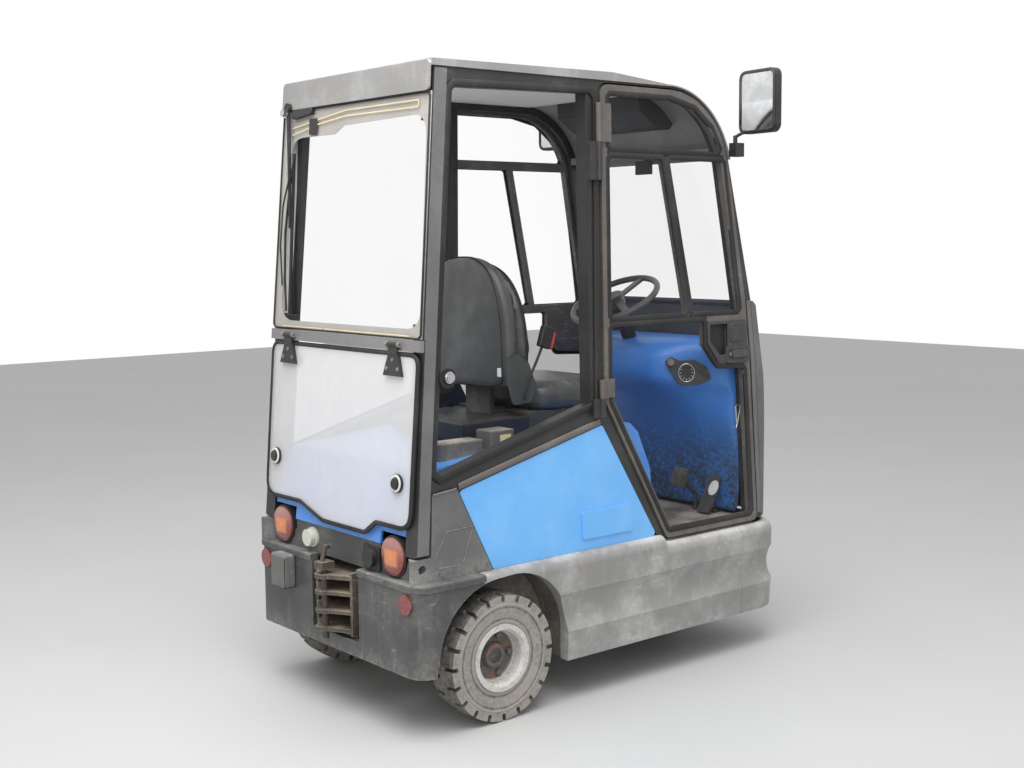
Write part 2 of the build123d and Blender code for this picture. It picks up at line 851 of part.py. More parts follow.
with BuildPart() as cross_rails:
    for low, high in ((mid_rail_low, mid_rail_high), (2032, frame_top_z - 1)):
        half = side_y((low + high) / 2, frame_inner) - 1
        with BuildSketch(rear_plane(-rail_depth)):
            with Locations((0, rear_up((low + high) / 2))):
                Rectangle(2 * half, high - low)
        extrude(amount=rail_depth - hatch_seat)
    with BuildSketch(rear_plane(-hatch_seat)):
        with Locations((0, rear_up((mid_rail_low + mid_rail_high) / 2))):
            Rectangle(904, mid_rail_high - mid_rail_low)
    extrude(amount=hatch_seat + 3)
    slab((566, 596), (-378, 378), (1872, 1898))
    for y in (-320, 320):
        for step in (-1, 1):
            with BuildSketch(Plane.XZ.offset(-(y + step * 32) - 5)):
                hinge_mid = rear_plane(12).from_local_coords((0, rear_up(1245), 0))
                with Locations((hinge_mid.X, hinge_mid.Z)):
                    Circle(8)
                    with Locations(Location((6, 3, 0), (0, 0, rear_lean))):
                        Rectangle(14, 14)
            extrude(amount=10)
            with BuildSketch(Plane.XZ.offset(-(y + step * 32) - 6)):
                with Locations((hinge_mid.X, hinge_mid.Z)):
                    Circle(3 + running_fit)
            extrude(amount=12, mode=Mode.SUBTRACT)
cross_rails.part.label = "cross_rails"
export_step(cross_rails.part, "parts/cross_rails.step")

# Rear window surround: a pressed ring behind the glass, drawn as seen from behind.
window_opening = (
    (-315, 1948),
    (-84, 1951),
    (325, 1962),
    (415, 1900),
    (428, 1345),
    (380, 1307),
    (-341, 1303),
    (-392, 1343),
    (-378, 1903),
)
with BuildPart() as rear_surround:
    with BuildSketch(rear_plane(-rear_glass_seat - surround_t - 0.1)):
        with BuildLine():
            surround_low_half = side_y(1268) - 4
            surround_high_half = side_y(2028) - 4
            Polyline(
                (-surround_low_half, rear_up(1266)),
                (surround_low_half, rear_up(1266)),
                (surround_high_half, rear_up(2029)),
                (-surround_high_half, rear_up(2029)),
                (-surround_low_half, rear_up(1266)),
            )
        make_face()
        with BuildSketch(mode=Mode.PRIVATE) as clear_area:
            with BuildLine():
                Polyline(*[(y, rear_up(z)) for y, z in window_opening], close=True)
            make_face()
            fillet(clear_area.vertices(), 24)
        add(clear_area.sketch, mode=Mode.SUBTRACT)
    extrude(amount=surround_t)
rear_surround.part.label = "rear_surround"
export_step(rear_surround.part, "parts/rear_surround.step")

# Rubber buffers on the rear corner posts, which the opened doors meet.
buffer_x = -715
buffer_z = 1141
buffer_r = 32

with BuildPart() as door_buffers:
    with BuildSketch(side_plane(seat_gap)):
        with Locations((buffer_x, buffer_z)):
            Circle(buffer_r)
    extrude(amount=6)
    with BuildSketch(side_plane(5)):
        with Locations((buffer_x, buffer_z)):
            Circle(buffer_r - 14)
    extrude(amount=9)
    mirror(about=Plane.XZ)
door_buffers.part.label = "door_buffers"
export_step(door_buffers.part, "parts/door_buffers.step")

# Roof: a shallow plate whose front curves down between the A-posts, and the rear fascia.
roof_low_z = frame_top_z - 0.1
roof_band_t = 4.5

with BuildPart() as roof:
    band_inner = frame_arc_r + seat_gap
    band_outer = band_inner + roof_band_t
    with BuildSketch(Plane.XZ.offset(-460)):
        with BuildLine():
            Polyline(
                (door_arc_x, door_top_z - door_arc_r + band_inner),
                (door_arc_x - 1, roof_low_z),
                (rear_x(roof_low_z, seat_gap), roof_low_z),
                (rear_x(2124, seat_gap), 2124),
                (21, 2132),
                (door_arc_x, door_top_z - door_arc_r + band_outer),
            )
            ThreePointArc(
                (door_arc_x, door_top_z - door_arc_r + band_outer),
                arc_point(band_outer, 50),
                arc_point(band_outer, 13),
            )
            Line(arc_point(band_outer, 13), arc_point(band_inner, 13))
            ThreePointArc(
                arc_point(band_inner, 13),
                arc_point(band_inner, 50),
                (door_arc_x, door_top_z - door_arc_r + band_inner),
            )
        make_face()
    extrude(amount=920)
    trim_between_sides(0)
    with BuildSketch(rear_plane(0)) as rear_fascia:
        with BuildLine():
            Polyline((-436, 2033), (436, 2033), (434, 2126), (-434, 2126), (-436, 2033))
        make_face()
        fillet(rear_fascia.vertices(), 14)
    extrude(amount=fascia_t)
roof.part.label = "roof"
export_step(roof.part, "parts/roof.step")

# Fixed glass: side windows, rear window and a flat windscreen.
screen_t = 6
screen_half = 425

with BuildPart() as cab_glass:
    with BuildSketch(side_plane(frame_outer)):
        add(window_face())
        for low, high in hinge_spans:
            with Locations((door_hinge_x, (3 * low + high) / 4)):
                Rectangle(2 * hinge_leaf_w + 6, (high - low) / 2 + 6, mode=Mode.SUBTRACT)
    extrude(amount=glass_t)
    mirror(about=Plane.XZ)
    with BuildSketch(rear_plane(-rear_glass_seat + 0.5)):
        with BuildLine():
            low_half = side_y(1268) - 3
            high_half = side_y(2028) - 3
            Polyline(
                (-low_half, 1268),
                (low_half, 1268),
                (high_half, 2029),
                (-high_half, 2029),
                (-low_half, 1268),
            )
        make_face()
    extrude(amount=glass_t)
    run = Vector(screen_foot[0] - screen_top[0], 0, screen_foot[1] - screen_top[1])
    screen_plane = Plane(origin=(screen_top[0], 0, screen_top[1]), x_dir=run, z_dir=run.cross(Vector(0, 1, 0)))
    with BuildSketch(screen_plane.offset(seat_gap)):
        with Locations((run.length / 2 + 1, 0)):
            Rectangle(run.length - 6, 2 * screen_half)
    extrude(amount=screen_t)
cab_glass.part.label = "cab_glass"
export_step(cab_glass.part, "parts/cab_glass.step")

# Front cowl: a thin shell below the windscreen with rounded corners.
cowl_t = 10
cowl_corner_r = 130
cowl_foot_x = 885
cowl_top_x = 764


def cowl_form(inset):
    """Solid form of the cowl, or of the hollow behind its shell."""
    top_z = screen_foot[1] - 3 - inset
    foot_z = frame_foot_z - inset
    if inset:
        rear_edge = ((680, foot_z), (680, top_z))
    else:
        rear_edge = ((790.5, foot_z), (782.5, 744), (761.5, 1104), (735.5, top_z))
    with BuildPart() as form:
        with BuildSketch(Plane.XZ.offset(-480)):
            with BuildLine():
                Polyline(
                    *rear_edge,
                    (cowl_top_x - inset - 18, top_z),
                    (cowl_top_x - inset, top_z - 17),
                    (cowl_foot_x - inset, 560),
                    (cowl_foot_x - inset, foot_z),
                    rear_edge[0],
                )
            make_face()
        extrude(amount=960)
        trim_between_sides(frame_outer - inset)
        with BuildSketch(Plane.XY.offset(400)) as outline:
            with Locations((cowl_foot_x - inset - 300, 0)):
                Rectangle(600, 2 * (side_y(frame_foot_z, frame_outer) + 1 - inset))
            fillet(outline.vertices().group_by(Axis.X)[-1], cowl_corner_r - inset)
        extrude(amount=1000, mode=Mode.INTERSECT)
    return form.part


lamp_r = 65
lamp_y = 300
lamp_z = 700

with BuildPart() as front_cowl:
    add(cowl_form(0))
    add(cowl_form(cowl_t), mode=Mode.SUBTRACT)
    for y in (-lamp_y, lamp_y):
        rod((800, y, lamp_z), (920, y, lamp_z), lamp_r + seat_gap, mode=Mode.SUBTRACT)
front_cowl.part.label = "front_cowl"
export_step(front_cowl.part, "parts/front_cowl.step")

with BuildPart() as headlamps:
    for y in (-lamp_y, lamp_y):
        rod((812, y, lamp_z), (866, y, lamp_z), lamp_r)
        with BuildSketch(Plane.XZ.offset(-y)):
            with BuildLine():
                TangentArc((884, lamp_z), (866, lamp_z + lamp_r - 6), tangent=(0, 1))
                Polyline((866, lamp_z + lamp_r - 6), (866, lamp_z), (884, lamp_z))
            make_face()
        revolve(axis=Axis((0, y, lamp_z), (1, 0, 0)))
headlamps.part.label = "headlamps"
export_step(headlamps.part, "parts/headlamps.step")

# Bodywork behind and beside the seat.
hood_half = 398
hood_t = 8
hood_profile = (
    (-780, deck_z + seat_gap),
    (-780, 600),
    (-847, 604),
    (-835, 700),
    (-785, 830),
    (-765, 845),
    (-85, 900),
    (75, 930),
    (140, 915),
    (180, 880),
    (243, 741),
    (265, deck_z + seat_gap),
)

with BuildPart() as hood:
    with BuildSketch(Plane.XZ.offset(-hood_half)) as hood_side:
        with BuildLine():
            Polyline(*hood_profile, close=True)
        make_face()
    extrude(amount=2 * hood_half)
    with BuildSketch(Plane.XZ.offset(-hood_half + hood_t)):
        add(hood_side.sketch_local)
        offset(amount=-hood_t, mode=Mode.REPLACE)
        with Locations((-258, 510)):
            Rectangle(1026, 40)
    extrude(amount=2 * (hood_half - hood_t), mode=Mode.SUBTRACT)
    for y_range in ((-410, -262), (262, 410)):
        slab((-860, -782), y_range, (500, 646), mode=Mode.SUBTRACT)
hood.part.label = "hood"
export_step(hood.part, "parts/hood.step")

panel_foot_z = deck_z + 2.5 * seat_gap
side_panel = ((-674, 777.8), (-46.5, 931), (215, panel_foot_z), (-540, panel_foot_z))
panel_rib = (-30, 592, 239, 96)
corner_cover = ((-784, 776.5), (-688, 788), (-548, panel_foot_z), (-798, panel_foot_z))
corner_block_r = 55
lashing_x = -830
lashing_z = 549
lashing_r = 15

with BuildPart() as side_panels:
    with BuildSketch(side_plane(-28)) as panel_outline:
        with BuildLine():
            Polyline(*side_panel, close=True)
        make_face()
        fillet(panel_outline.vertices(), 12)
    extrude(amount=20)
    with BuildSketch(side_plane(-9)):
        with Locations((panel_rib[0], panel_rib[1])):
            RectangleRounded(panel_rib[2], panel_rib[3], 12)
    extrude(amount=7)
    mirror(about=Plane.XZ)
side_panels.part.label = "side_panels"
export_step(side_panels.part, "parts/side_panels.step")

with BuildPart() as corner_covers:
    with BuildSketch(side_plane(-20)) as cover_outline:
        with BuildLine():
            Polyline(*corner_cover, close=True)
        make_face()
        fillet(cover_outline.vertices().group_by(Axis.Y)[-1], 10)
    extrude(amount=20)
    with BuildSketch(Plane.XY.offset(deck_z + seat_gap)) as block_outline:
        with Locations((-832, -439)):
            Rectangle(74, 56)
        fillet(block_outline.vertices().sort_by(Axis.X)[0], corner_block_r)
    extrude(amount=582 - deck_z)
    with BuildSketch(Plane.XZ.offset(400)):
        with Locations((lashing_x, lashing_z)):
            Circle(lashing_r)
    extrude(amount=100, mode=Mode.SUBTRACT)
    mirror(about=Plane.XZ)
corner_covers.part.label = "corner_covers"
export_step(corner_covers.part, "parts/corner_covers.step")

# Rear panel with its lamps, button, socket and control box.
tail_lamp_y = 340
tail_lamp_z = 575
tail_lamp_r = 67
rear_panel_x = -843
panel_half = 262

with BuildPart() as rear_panel:
    slab((rear_panel_x, rear_panel_x + 8), (-panel_half, panel_half), (deck_z + seat_gap, 602))
    for side in (-1, 1):
        y_range = sorted((side * (panel_half - 1), side * 408))
        slab((rear_panel_x, rear_panel_x + 40), y_range, (deck_z + seat_gap, 566))
    for y in (-tail_lamp_y, tail_lamp_y):
        rod((-870, y, tail_lamp_z), (-780, y, tail_lamp_z), tail_lamp_r + seat_gap, mode=Mode.SUBTRACT)
rear_panel.part.label = "rear_panel"
export_step(rear_panel.part, "parts/rear_panel.step")

with BuildPart() as rear_fittings:
    for y in (-tail_lamp_y, tail_lamp_y):
        rod((-850, y, tail_lamp_z), (-786, y, tail_lamp_z), tail_lamp_r)
    slab((-914, rear_face_x - 0.5), (235, 317), (368, 475))
    slab((-851, rear_panel_x - 0.3), (-262, -168), (512, 588))
    rod((-868, -215, 550), (-850, -215, 550), 30)
rear_fittings.part.label = "rear_fittings"
export_step(rear_fittings.part, "parts/rear_fittings.step")

reflector_y = 430
reflector_z = 440
reflector_r = 33
lens_r = 61

with BuildPart() as rear_lenses:
    for y in (-tail_lamp_y, tail_lamp_y):
        with BuildSketch(Plane.XZ.offset(-y)):
            with BuildLine():
                TangentArc((-865, tail_lamp_z), (-856, tail_lamp_z + lens_r), tangent=(0, 1))
                Polyline(
                    (-856, tail_lamp_z + lens_r),
                    (-850.3, tail_lamp_z + lens_r),
                    (-850.3, tail_lamp_z),
                    (-865, tail_lamp_z),
                )
            make_face()
        revolve(axis=Axis((0, y, tail_lamp_z), (1, 0, 0)))
    for y in (-reflector_y, reflector_y):
        rod((rear_face_x - 6.5, y, reflector_z), (rear_face_x - 0.3, y, reflector_z), reflector_r)
rear_lenses.part.label = "rear_lenses"
export_step(rear_lenses.part, "parts/rear_lenses.step")

with BuildPart() as push_button:
    rod((-852, 150, 558), (rear_panel_x - 0.3, 150, 558), 34)
    rod((-873, 150, 558), (-852, 150, 558), 29)
push_button.part.label = "push_button"
export_step(push_button.part, "parts/push_button.step")

# Tow coupling: a stepped stack of plates between two cheeks, and its drop pin.
coupling_plates = ((460, 14), (405, 12), (342, 12), (282, 14))
coupling_root_x = -861
coupling_root_half = 112
coupling_tip_r = 33
coupling_pin_x = -897
coupling_pin_r = 11
pin_clearance = 0.5

with BuildPart() as coupling:
    slab((-758, tub_rear_x - seat_gap), (-coupling_root_half, coupling_root_half), (262, 480))
    for side in (-1, 1):
        y_range = sorted((side * (coupling_root_half - 12), side * coupling_root_half))
        slab((-862, -750), y_range, (264, 478))
    for height, thickness in coupling_plates:
        with BuildSketch(Plane.XY.offset(height - thickness / 2)):
            with BuildLine():
                Polyline(
                    (-750, coupling_root_half),
                    (coupling_root_x, coupling_root_half),
                    (coupling_pin_x - 8, coupling_tip_r),
                    (coupling_pin_x - 8, -coupling_tip_r),
                    (coupling_root_x, -coupling_root_half),
                    (-750, -coupling_root_half),
                    (-750, coupling_root_half),
                )
            make_face()
            with Locations((coupling_pin_x, 0)):
                Circle(coupling_tip_r)
        extrude(amount=thickness)
    rod(
        (coupling_pin_x, 0, 250),
        (coupling_pin_x, 0, 490),
        coupling_pin_r + pin_clearance,
        mode=Mode.SUBTRACT,
    )
coupling.part.label = "coupling"
export_step(coupling.part, "parts/coupling.step")

with BuildPart() as coupling_pin:
    rod((coupling_pin_x, 0, 243), (coupling_pin_x, 0, 485), coupling_pin_r)
    slab((coupling_pin_x - 25, coupling_pin_x + 25), (-22, 22), (482, 507))
    rod((coupling_pin_x - 10, 0, 500), (coupling_pin_x + 6, 0, 560), 8)
    rod((coupling_pin_x + 6, 0, 556), (coupling_pin_x + 22, 0, 556), 8)
coupling_pin.part.label = "coupling_pin"
export_step(coupling_pin.part, "parts/coupling_pin.step")

# Rear hatch: a tinted pane on two hinge arms, with two locks.
hatch_half = 446
hatch_top_z = 1224
hatch_low_z = 672
hatch_dip_z = 628

with BuildPart() as hatch_pane:
    with BuildSketch(rear_plane(-8)) as pane_outline:
        with BuildLine():
            Polyline(
                (-hatch_half, hatch_low_z),
                (-215, hatch_low_z),
                (-65, hatch_dip_z),
                (193, hatch_dip_z),
                (254, hatch_low_z),
                (hatch_half, hatch_low_z),
                (hatch_half, hatch_top_z),
                (-hatch_half, hatch_top_z),
                (-hatch_half, hatch_low_z),
            )
        make_face()
        fillet(pane_outline.vertices().group_by(Axis.Y)[-1], 40)
    extrude(amount=8)
hatch_pane.part.label = "hatch_pane"
export_step(hatch_pane.part, "parts/hatch_pane.step")

hatch_hinge_z = 1245
hatch_locks = ((-380, 817), (367, 815))

with BuildPart() as hatch_fittings:
    for y in (-320, 320):
        with BuildSketch(rear_plane(0.2)):
            with BuildLine():
                Polyline(
                    (y - 50, 1150),
                    (y + 50, 1150),
                    (y + 25, 1222),
                    (y - 25, 1222),
                    (y - 50, 1150),
                )
            make_face()
        extrude(amount=11)
        with BuildSketch(rear_plane(8)):
            with Locations((y, 1232)):
                Rectangle(50, 30)
        extrude(amount=6)
        hinge_mid = rear_plane(12).from_local_coords((0, rear_up(hatch_hinge_z), 0))
        rod((hinge_mid.X, y - 26, hinge_mid.Z), (hinge_mid.X, y + 26, hinge_mid.Z), 8)
        rod((hinge_mid.X, y - 36, hinge_mid.Z), (hinge_mid.X, y + 36, hinge_mid.Z), 3)
    for y, z in hatch_locks:
        with BuildSketch(rear_plane(0.2)):
            with Locations((y, z)):
                Circle(30)
        extrude(amount=9)
        with BuildSketch(rear_plane(9)):
            with Locations((y, z)):
                Circle(17)
        extrude(amount=8)
hatch_fittings.part.label = "hatch_fittings"
export_step(hatch_fittings.part, "parts/hatch_fittings.step")

# Seat
seat_half = 235
seat_front_x = 255
seat_rear_x = -145
cushion_low_z = 960
cushion_top_z = 1060

seat_low_z = cushion_low_z - seat_gap

with BuildPart() as seat_base:
    profile_bar(
        ((-170, 893.6), (-85, 900.5), (75, 930.5), (230, 936), (230, seat_low_z), (-170, seat_low_z)),
        (-200, 200),
    )
    profile_bar(
        (
            (-236, 940),
            (-170, 940),
            (-170, seat_low_z),
            (-217, seat_low_z),
            (-215.5, 1050),
            (-240.5, 1260),
            (-257, 1260),
            (-236, 1050),
        ),
        (-70, 70),
    )
seat_base.part.label = "seat_base"
export_step(seat_base.part, "parts/seat_base.step")

with BuildPart() as seat_cushion:
    with BuildSketch(Plane.XY.offset(cushion_low_z)):
        with Locations(((seat_front_x + seat_rear_x) / 2, 0)):
            RectangleRounded(seat_front_x - seat_rear_x, 2 * seat_half, 60)
    extrude(amount=cushion_top_z - cushion_low_z)
    fillet(seat_cushion.faces().sort_by(Axis.Z)[-1].edges(), 28)
seat_cushion.part.label = "seat_cushion"
export_step(seat_cushion.part, "parts/seat_cushion.step")

with BuildPart() as seat_back:
    with BuildSketch(Plane(origin=(-120, 0, 1066), x_dir=(0, -1, 0), z_dir=(-0.99, 0, -0.12))):
        with Locations((0, 222)):
            RectangleRounded(450, 434, 90)
    extrude(amount=95)
    fillet(seat_back.edges().filter_by(GeomType.LINE).group_by(Axis.Z)[-1], 10)
seat_back.part.label = "seat_back"
export_step(seat_back.part, "parts/seat_back.step")

# Dash, steering column, steering wheel and pedals
wheel_tilt = 28
steer_centre = (452, 0, 1331)
steer_r = 185
steer_rim_r = 12
column_r = 28
column_len = 330
steer_down = Vector(sin(radians(wheel_tilt)), 0, -cos(radians(wheel_tilt)))
column_plane = Plane(origin=steer_centre, x_dir=(0, 1, 0), z_dir=steer_down)
shaft_r = 10

bulkhead_x = 748
bulkhead_t = 8

with BuildPart() as dash:
    profile_bar(
        (
            (730, 1190),
            (600, 1195),
            (500, 1175),
            (447, 1132),
            (438, 1066),
            (480, 1048),
            (690, 1030),
            (bulkhead_x, 980),
            (bulkhead_x, deck_top_z + seat_gap),
            (bulkhead_x + bulkhead_t, deck_top_z + seat_gap),
            (bulkhead_x + bulkhead_t, 1100),
        ),
        (-430, 430),
    )
    trim_between_sides(frame_inner - seat_gap)
    brow = dash.edges().filter_by(Axis.Y).filter_by(lambda edge: edge.center().X < 520)
    fillet(brow, 14)
    with BuildSketch(column_plane.offset(60)):
        Circle(column_r + seat_gap)
    extrude(amount=500, mode=Mode.SUBTRACT)
dash.part.label = "dash"
export_step(dash.part, "parts/dash.step")

# Instrument panel on the driver's right, facing the seat, and the console under the roof.
gauge_y = -272
gauge_z = 1098
gauge_r = 30
dash_face_x = (447 - 438) / (1132 - 1066)
gauge_face_x = 438 + dash_face_x * (gauge_z - 1066)

with BuildPart() as instrument_panel:
    face_lean = atan(dash_face_x)
    panel_plane = Plane(
        origin=(gauge_face_x, gauge_y, gauge_z),
        x_dir=(0, -1, 0),
        z_dir=(-cos(face_lean), 0, sin(face_lean)),
    )
    with BuildSketch(panel_plane.offset(seat_gap)):
        RectangleRounded(150, 44, 18)
        Circle(gauge_r + 8)
    extrude(amount=9)
    with BuildSketch(panel_plane.offset(9)):
        Circle(gauge_r + 8)
        Circle(gauge_r, mode=Mode.SUBTRACT)
    extrude(amount=7)
instrument_panel.part.label = "instrument_panel"
export_step(instrument_panel.part, "parts/instrument_panel.step")

console_half = 225

with BuildPart() as roof_console:
    console_profile = (
        *[arc_point(frame_arc_r - 0.1, angle) for angle in (80, 66, 54, 42)],
        (520, 1975),
        (440, 1985),
        (360, 2040),
    )
    profile_bar(console_profile, (-console_half, console_half))
    brow_edges = roof_console.edges().filter_by(Axis.Y).group_by(Axis.Z)[0]
    fillet(brow_edges, 10)
roof_console.part.label = "roof_console"
export_step(roof_console.part, "parts/roof_console.step")

with BuildPart() as steering_column:
    with BuildSketch(column_plane.offset(26)):
        Circle(column_r)
    extrude(amount=column_len)
    with BuildSketch(column_plane.offset(-16)):
        Circle(shaft_r)
    extrude(amount=60)
steering_column.part.label = "steering_column"
export_step(steering_column.part, "parts/steering_column.step")

with BuildPart() as steering_wheel:
    with BuildSketch(Plane(origin=steer_centre, x_dir=(0, 1, 0), z_dir=steer_down.cross(Vector(0, 1, 0)))):
        with Locations((steer_r - steer_rim_r, 0)):
            Circle(steer_rim_r)
    revolve(axis=Axis(steer_centre, steer_down))
    with BuildSketch(column_plane.offset(-22)):
        Circle(36)
    extrude(amount=44)
    for angle in (90, 210, 330):
        with BuildSketch(column_plane.offset(-5)):
            with Locations(Location((0, 0, 0), (0, 0, angle))):
                with Locations(((steer_r - steer_rim_r + 20) / 2, 0)):
                    Rectangle(steer_r - steer_rim_r - 20, 26)
        extrude(amount=10)
    with BuildSketch(column_plane.offset(-17)):
        Circle(shaft_r + running_fit)
    extrude(amount=60, mode=Mode.SUBTRACT)
steering_wheel.part.label = "steering_wheel"
export_step(steering_wheel.part, "parts/steering_wheel.step")

with BuildPart() as pedals:
    profile_bar(((662, 500), (700, 560), (742, 640), (732, 646), (690, 566), (652, 506)), (-310, -250))
    rod((720, -280, deck_top_z + 2), (705, -280, 565), 8)
    slab((705, 735), (-295, -265), (deck_top_z + seat_gap, deck_top_z + 8))
    profile_bar(((600, 600), (625, 670), (615, 674), (590, 604)), (-235, -165))
    rod((612, -200, 636), (700, -200, 560), 8)
    rod((700, -200, deck_top_z + seat_gap), (700, -200, 566), 8)
pedals.part.label = "pedals"
export_step(pedals.part, "parts/pedals.step")

# Mirrors and wipers
mirror_x = 650
mirror_y = 552
mirror_z = 2060
mirror_w = 190
mirror_h = 228

with BuildPart() as mirrors:
    with BuildSketch(Plane(origin=(mirror_x - 14, -mirror_y, mirror_z), x_dir=(0, -1, 0), z_dir=(1, -0.12, 0))):
        RectangleRounded(mirror_w, mirror_h, 30)
    extrude(amount=28)
    slab((607, 652), (-478, -443.7), (1865, 1915))
    rod((632, -452, 1910), (632, -452, 1942), 8)
    rod((632, -452, 1938), (650, -500, 1962), 6)
    mirror(about=Plane.XZ)
    slab((548, 562), (-95, -15), (1815, 1868))
    slab((560, 580), (-60, -50), (1846, 1871.7))
mirrors.part.label = "mirrors"
export_step(mirrors.part, "parts/mirrors.step")

with BuildPart() as wipers:
    with BuildSketch(rear_plane(1)):
        with BuildLine():
            Polyline((-350, 1880), (-340, 1880), (-325, 1320), (-335, 1320), (-350, 1880))
        make_face()
    extrude(amount=8)
    with BuildSketch(rear_plane(9)):
        with BuildLine():
            Polyline((-392, 2030), (-374, 2030), (-336, 1620), (-344, 1620), (-392, 2030))
        make_face()
    extrude(amount=7)
    with BuildSketch(rear_plane(8.3)):
        with Locations((-383, 2040)):
            Circle(16)
    extrude(amount=14)
wipers.part.label = "wipers"
export_step(wipers.part, "parts/wipers.step")
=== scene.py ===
import math

import bmesh
import bpy
from mathutils import Matrix, Vector


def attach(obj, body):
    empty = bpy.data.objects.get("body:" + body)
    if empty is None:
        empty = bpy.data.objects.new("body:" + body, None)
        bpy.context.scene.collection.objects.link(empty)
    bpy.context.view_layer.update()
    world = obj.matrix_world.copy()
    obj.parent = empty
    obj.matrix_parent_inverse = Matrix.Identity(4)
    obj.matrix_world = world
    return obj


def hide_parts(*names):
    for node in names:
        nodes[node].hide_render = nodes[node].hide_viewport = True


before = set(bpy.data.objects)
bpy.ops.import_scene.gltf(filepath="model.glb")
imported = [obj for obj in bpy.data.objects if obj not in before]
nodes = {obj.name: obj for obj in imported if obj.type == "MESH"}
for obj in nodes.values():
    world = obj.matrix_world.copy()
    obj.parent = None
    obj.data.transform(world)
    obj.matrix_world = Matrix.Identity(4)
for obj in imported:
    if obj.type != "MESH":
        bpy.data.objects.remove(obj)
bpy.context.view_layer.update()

scene = bpy.context.scene
print("frame:", len(nodes), "CAD nodes")


# Walls of the cab as the CAD sets them out, in metres: origin, right and up
sideLean, rearLean = math.radians(1.02), math.radians(4.642)
sideIn, sideUp = math.sin(sideLean), math.cos(sideLean)
rearIn, rearUp = math.sin(rearLean), math.cos(rearLean)
walls = {
    "front": (Vector((0.885, 0, 0.56)), Vector((0, 1, 0)), Vector((-0.1593, 0, 0.9872))),
    "cluster": (Vector((0.538, -0.302, 1.058)), Vector((0.741, -0.6715, 0)), Vector((0, 0, 1))),
    "pedal": (Vector((0.7015, -0.296, 0.594)), Vector((0, -1, 0)), Vector((0.459, 0, 0.888))),
    "right": (Vector((0, -0.4765, 0)), Vector((1, 0, 0)), Vector((0, sideIn, sideUp))),
    "left": (Vector((0, 0.4765, 0)), Vector((1, 0, 0)), Vector((0, -sideIn, sideUp))),
    "rear": (Vector((-0.9127, 0, 0)), Vector((0, -1, 0)), Vector((rearIn, 0, rearUp))),
}


def axesMatrix(right, up, out, place):
    return Matrix([(right[i], up[i], out[i], place[i]) for i in range(3)] + [(0, 0, 0, 1)])


def wallMatrix(wall, lift=0.0):
    origin, right, up = walls[wall]
    out = right.cross(up)
    if wall == "left":
        out = -out
    return axesMatrix(right, up, out, origin + out * lift / 1000)


# Materials: a wire stands for a socket of a node tree, so that sums can be written as sums
class Wire:
    def __init__(self, finish, socket):
        self.finish, self.socket = finish, socket

    def join(self, operation, other, flip=False):
        pair = (other, self) if flip else (self, other)
        return self.finish.node("Math", {"operation": operation}, {0: pair[0], 1: pair[1]})

    def __add__(self, other):
        return self.join("ADD", other)

    def __sub__(self, other):
        return self.join("SUBTRACT", other)

    def __rsub__(self, other):
        return self.join("SUBTRACT", other, True)

    def __mul__(self, other):
        return self.join("MULTIPLY", other)

    __radd__ = __add__
    __rmul__ = __mul__


socketNames = {
    "color": "Base Color", "rough": "Roughness", "metal": "Metallic", "coat": "Coat Weight",
    "coatRough": "Coat Roughness", "alpha": "Alpha", "normal": "Normal", "glow": "Emission Color",
    "glowStrength": "Emission Strength", "specular": "Specular IOR Level",
}


class Finish:
    def __init__(self, name):
        self.material = bpy.data.materials.new(name)
        self.material.use_nodes = True
        self.tree = self.material.node_tree
        self.tree.nodes.clear()
        self.shader = self.tree.nodes.new("ShaderNodeBsdfPrincipled")
        self.output = self.tree.nodes.new("ShaderNodeOutputMaterial")
        self.tree.links.new(self.shader.outputs[0], self.output.inputs[0])
        self.place = self.node("TexCoord", out="Object")

    def node(self, kind, settings=None, sockets=None, out=0):
        made = self.tree.nodes.new("ShaderNode" + kind)
        for key, value in (settings or {}).items():
            setattr(made, key, value)
        for key, value in (sockets or {}).items():
            self.feed(made.inputs[key], value)
        return Wire(self, made.outputs[out])

    def feed(self, socket, value):
        if isinstance(value, Wire):
            self.tree.links.new(value.socket, socket)
        else:
            socket.default_value = value

    def set(self, **values):
        for key, value in values.items():
            self.feed(self.shader.inputs[socketNames[key]], value)

    def noise(self, scale, detail=4.0, rough=0.6, stretch=None):
        place = self.place
        if stretch:
            place = self.node("Mapping", None, {"Vector": place, "Scale": stretch})
        sockets = {"Vector": place, "Scale": scale, "Detail": detail, "Roughness": rough}
        return self.node("TexNoise", {"noise_dimensions": "3D"}, sockets)

    def window(self, value, low, high):
        sockets = {"Value": value, "From Min": low, "From Max": high}
        return self.node("MapRange", {"interpolation_type": "SMOOTHSTEP"}, sockets)

    def mix(self, factor, first, second):
        return self.node("Mix", {"data_type": "RGBA"}, {0: factor, 6: first, 7: second}, out=2)

    def clamp(self, value):
        return self.node("Clamp", None, {0: value})

    def absolute(self, value):
        return self.node("Math", {"operation": "ABSOLUTE"}, {0: value})

    def part(self, vector, name):
        return self.node("SeparateXYZ", None, {0: vector}, out=name)

    def facing(self):
        return self.node("NewGeometry", out="Normal")

    # How much an edge stands out, from 0 on a flat face to 1
    def edges(self, radius, gain):
        bevelled = self.node("Bevel", {"samples": 4}, {"Radius": radius})
        sockets = {0: bevelled, 1: self.facing()}
        same = self.node("VectorMath", {"operation": "DOT_PRODUCT"}, sockets, out="Value")
        return self.clamp((1 - same) * gain)

    def bump(self, height, strength, distance=0.001):
        sockets = {"Strength": strength, "Distance": distance, "Height": height}
        self.set(normal=self.node("Bump", None, sockets))


def shade(red, green, blue):
    return (red, green, blue, 1.0)


# Painted and cast pieces: a base in two tones under dust, streaks, scratches, worn edges and rust. The
# overlays low down and on upward faces are dust on most paints, but painted shade low down on the dash, and
# partly painted light from above on the skirts and roof
wear = dict(cloud=5, speck=60, grain=400, streak=26, scratch=90, rust=18, edgeWidth=0.004, edgeGain=4)


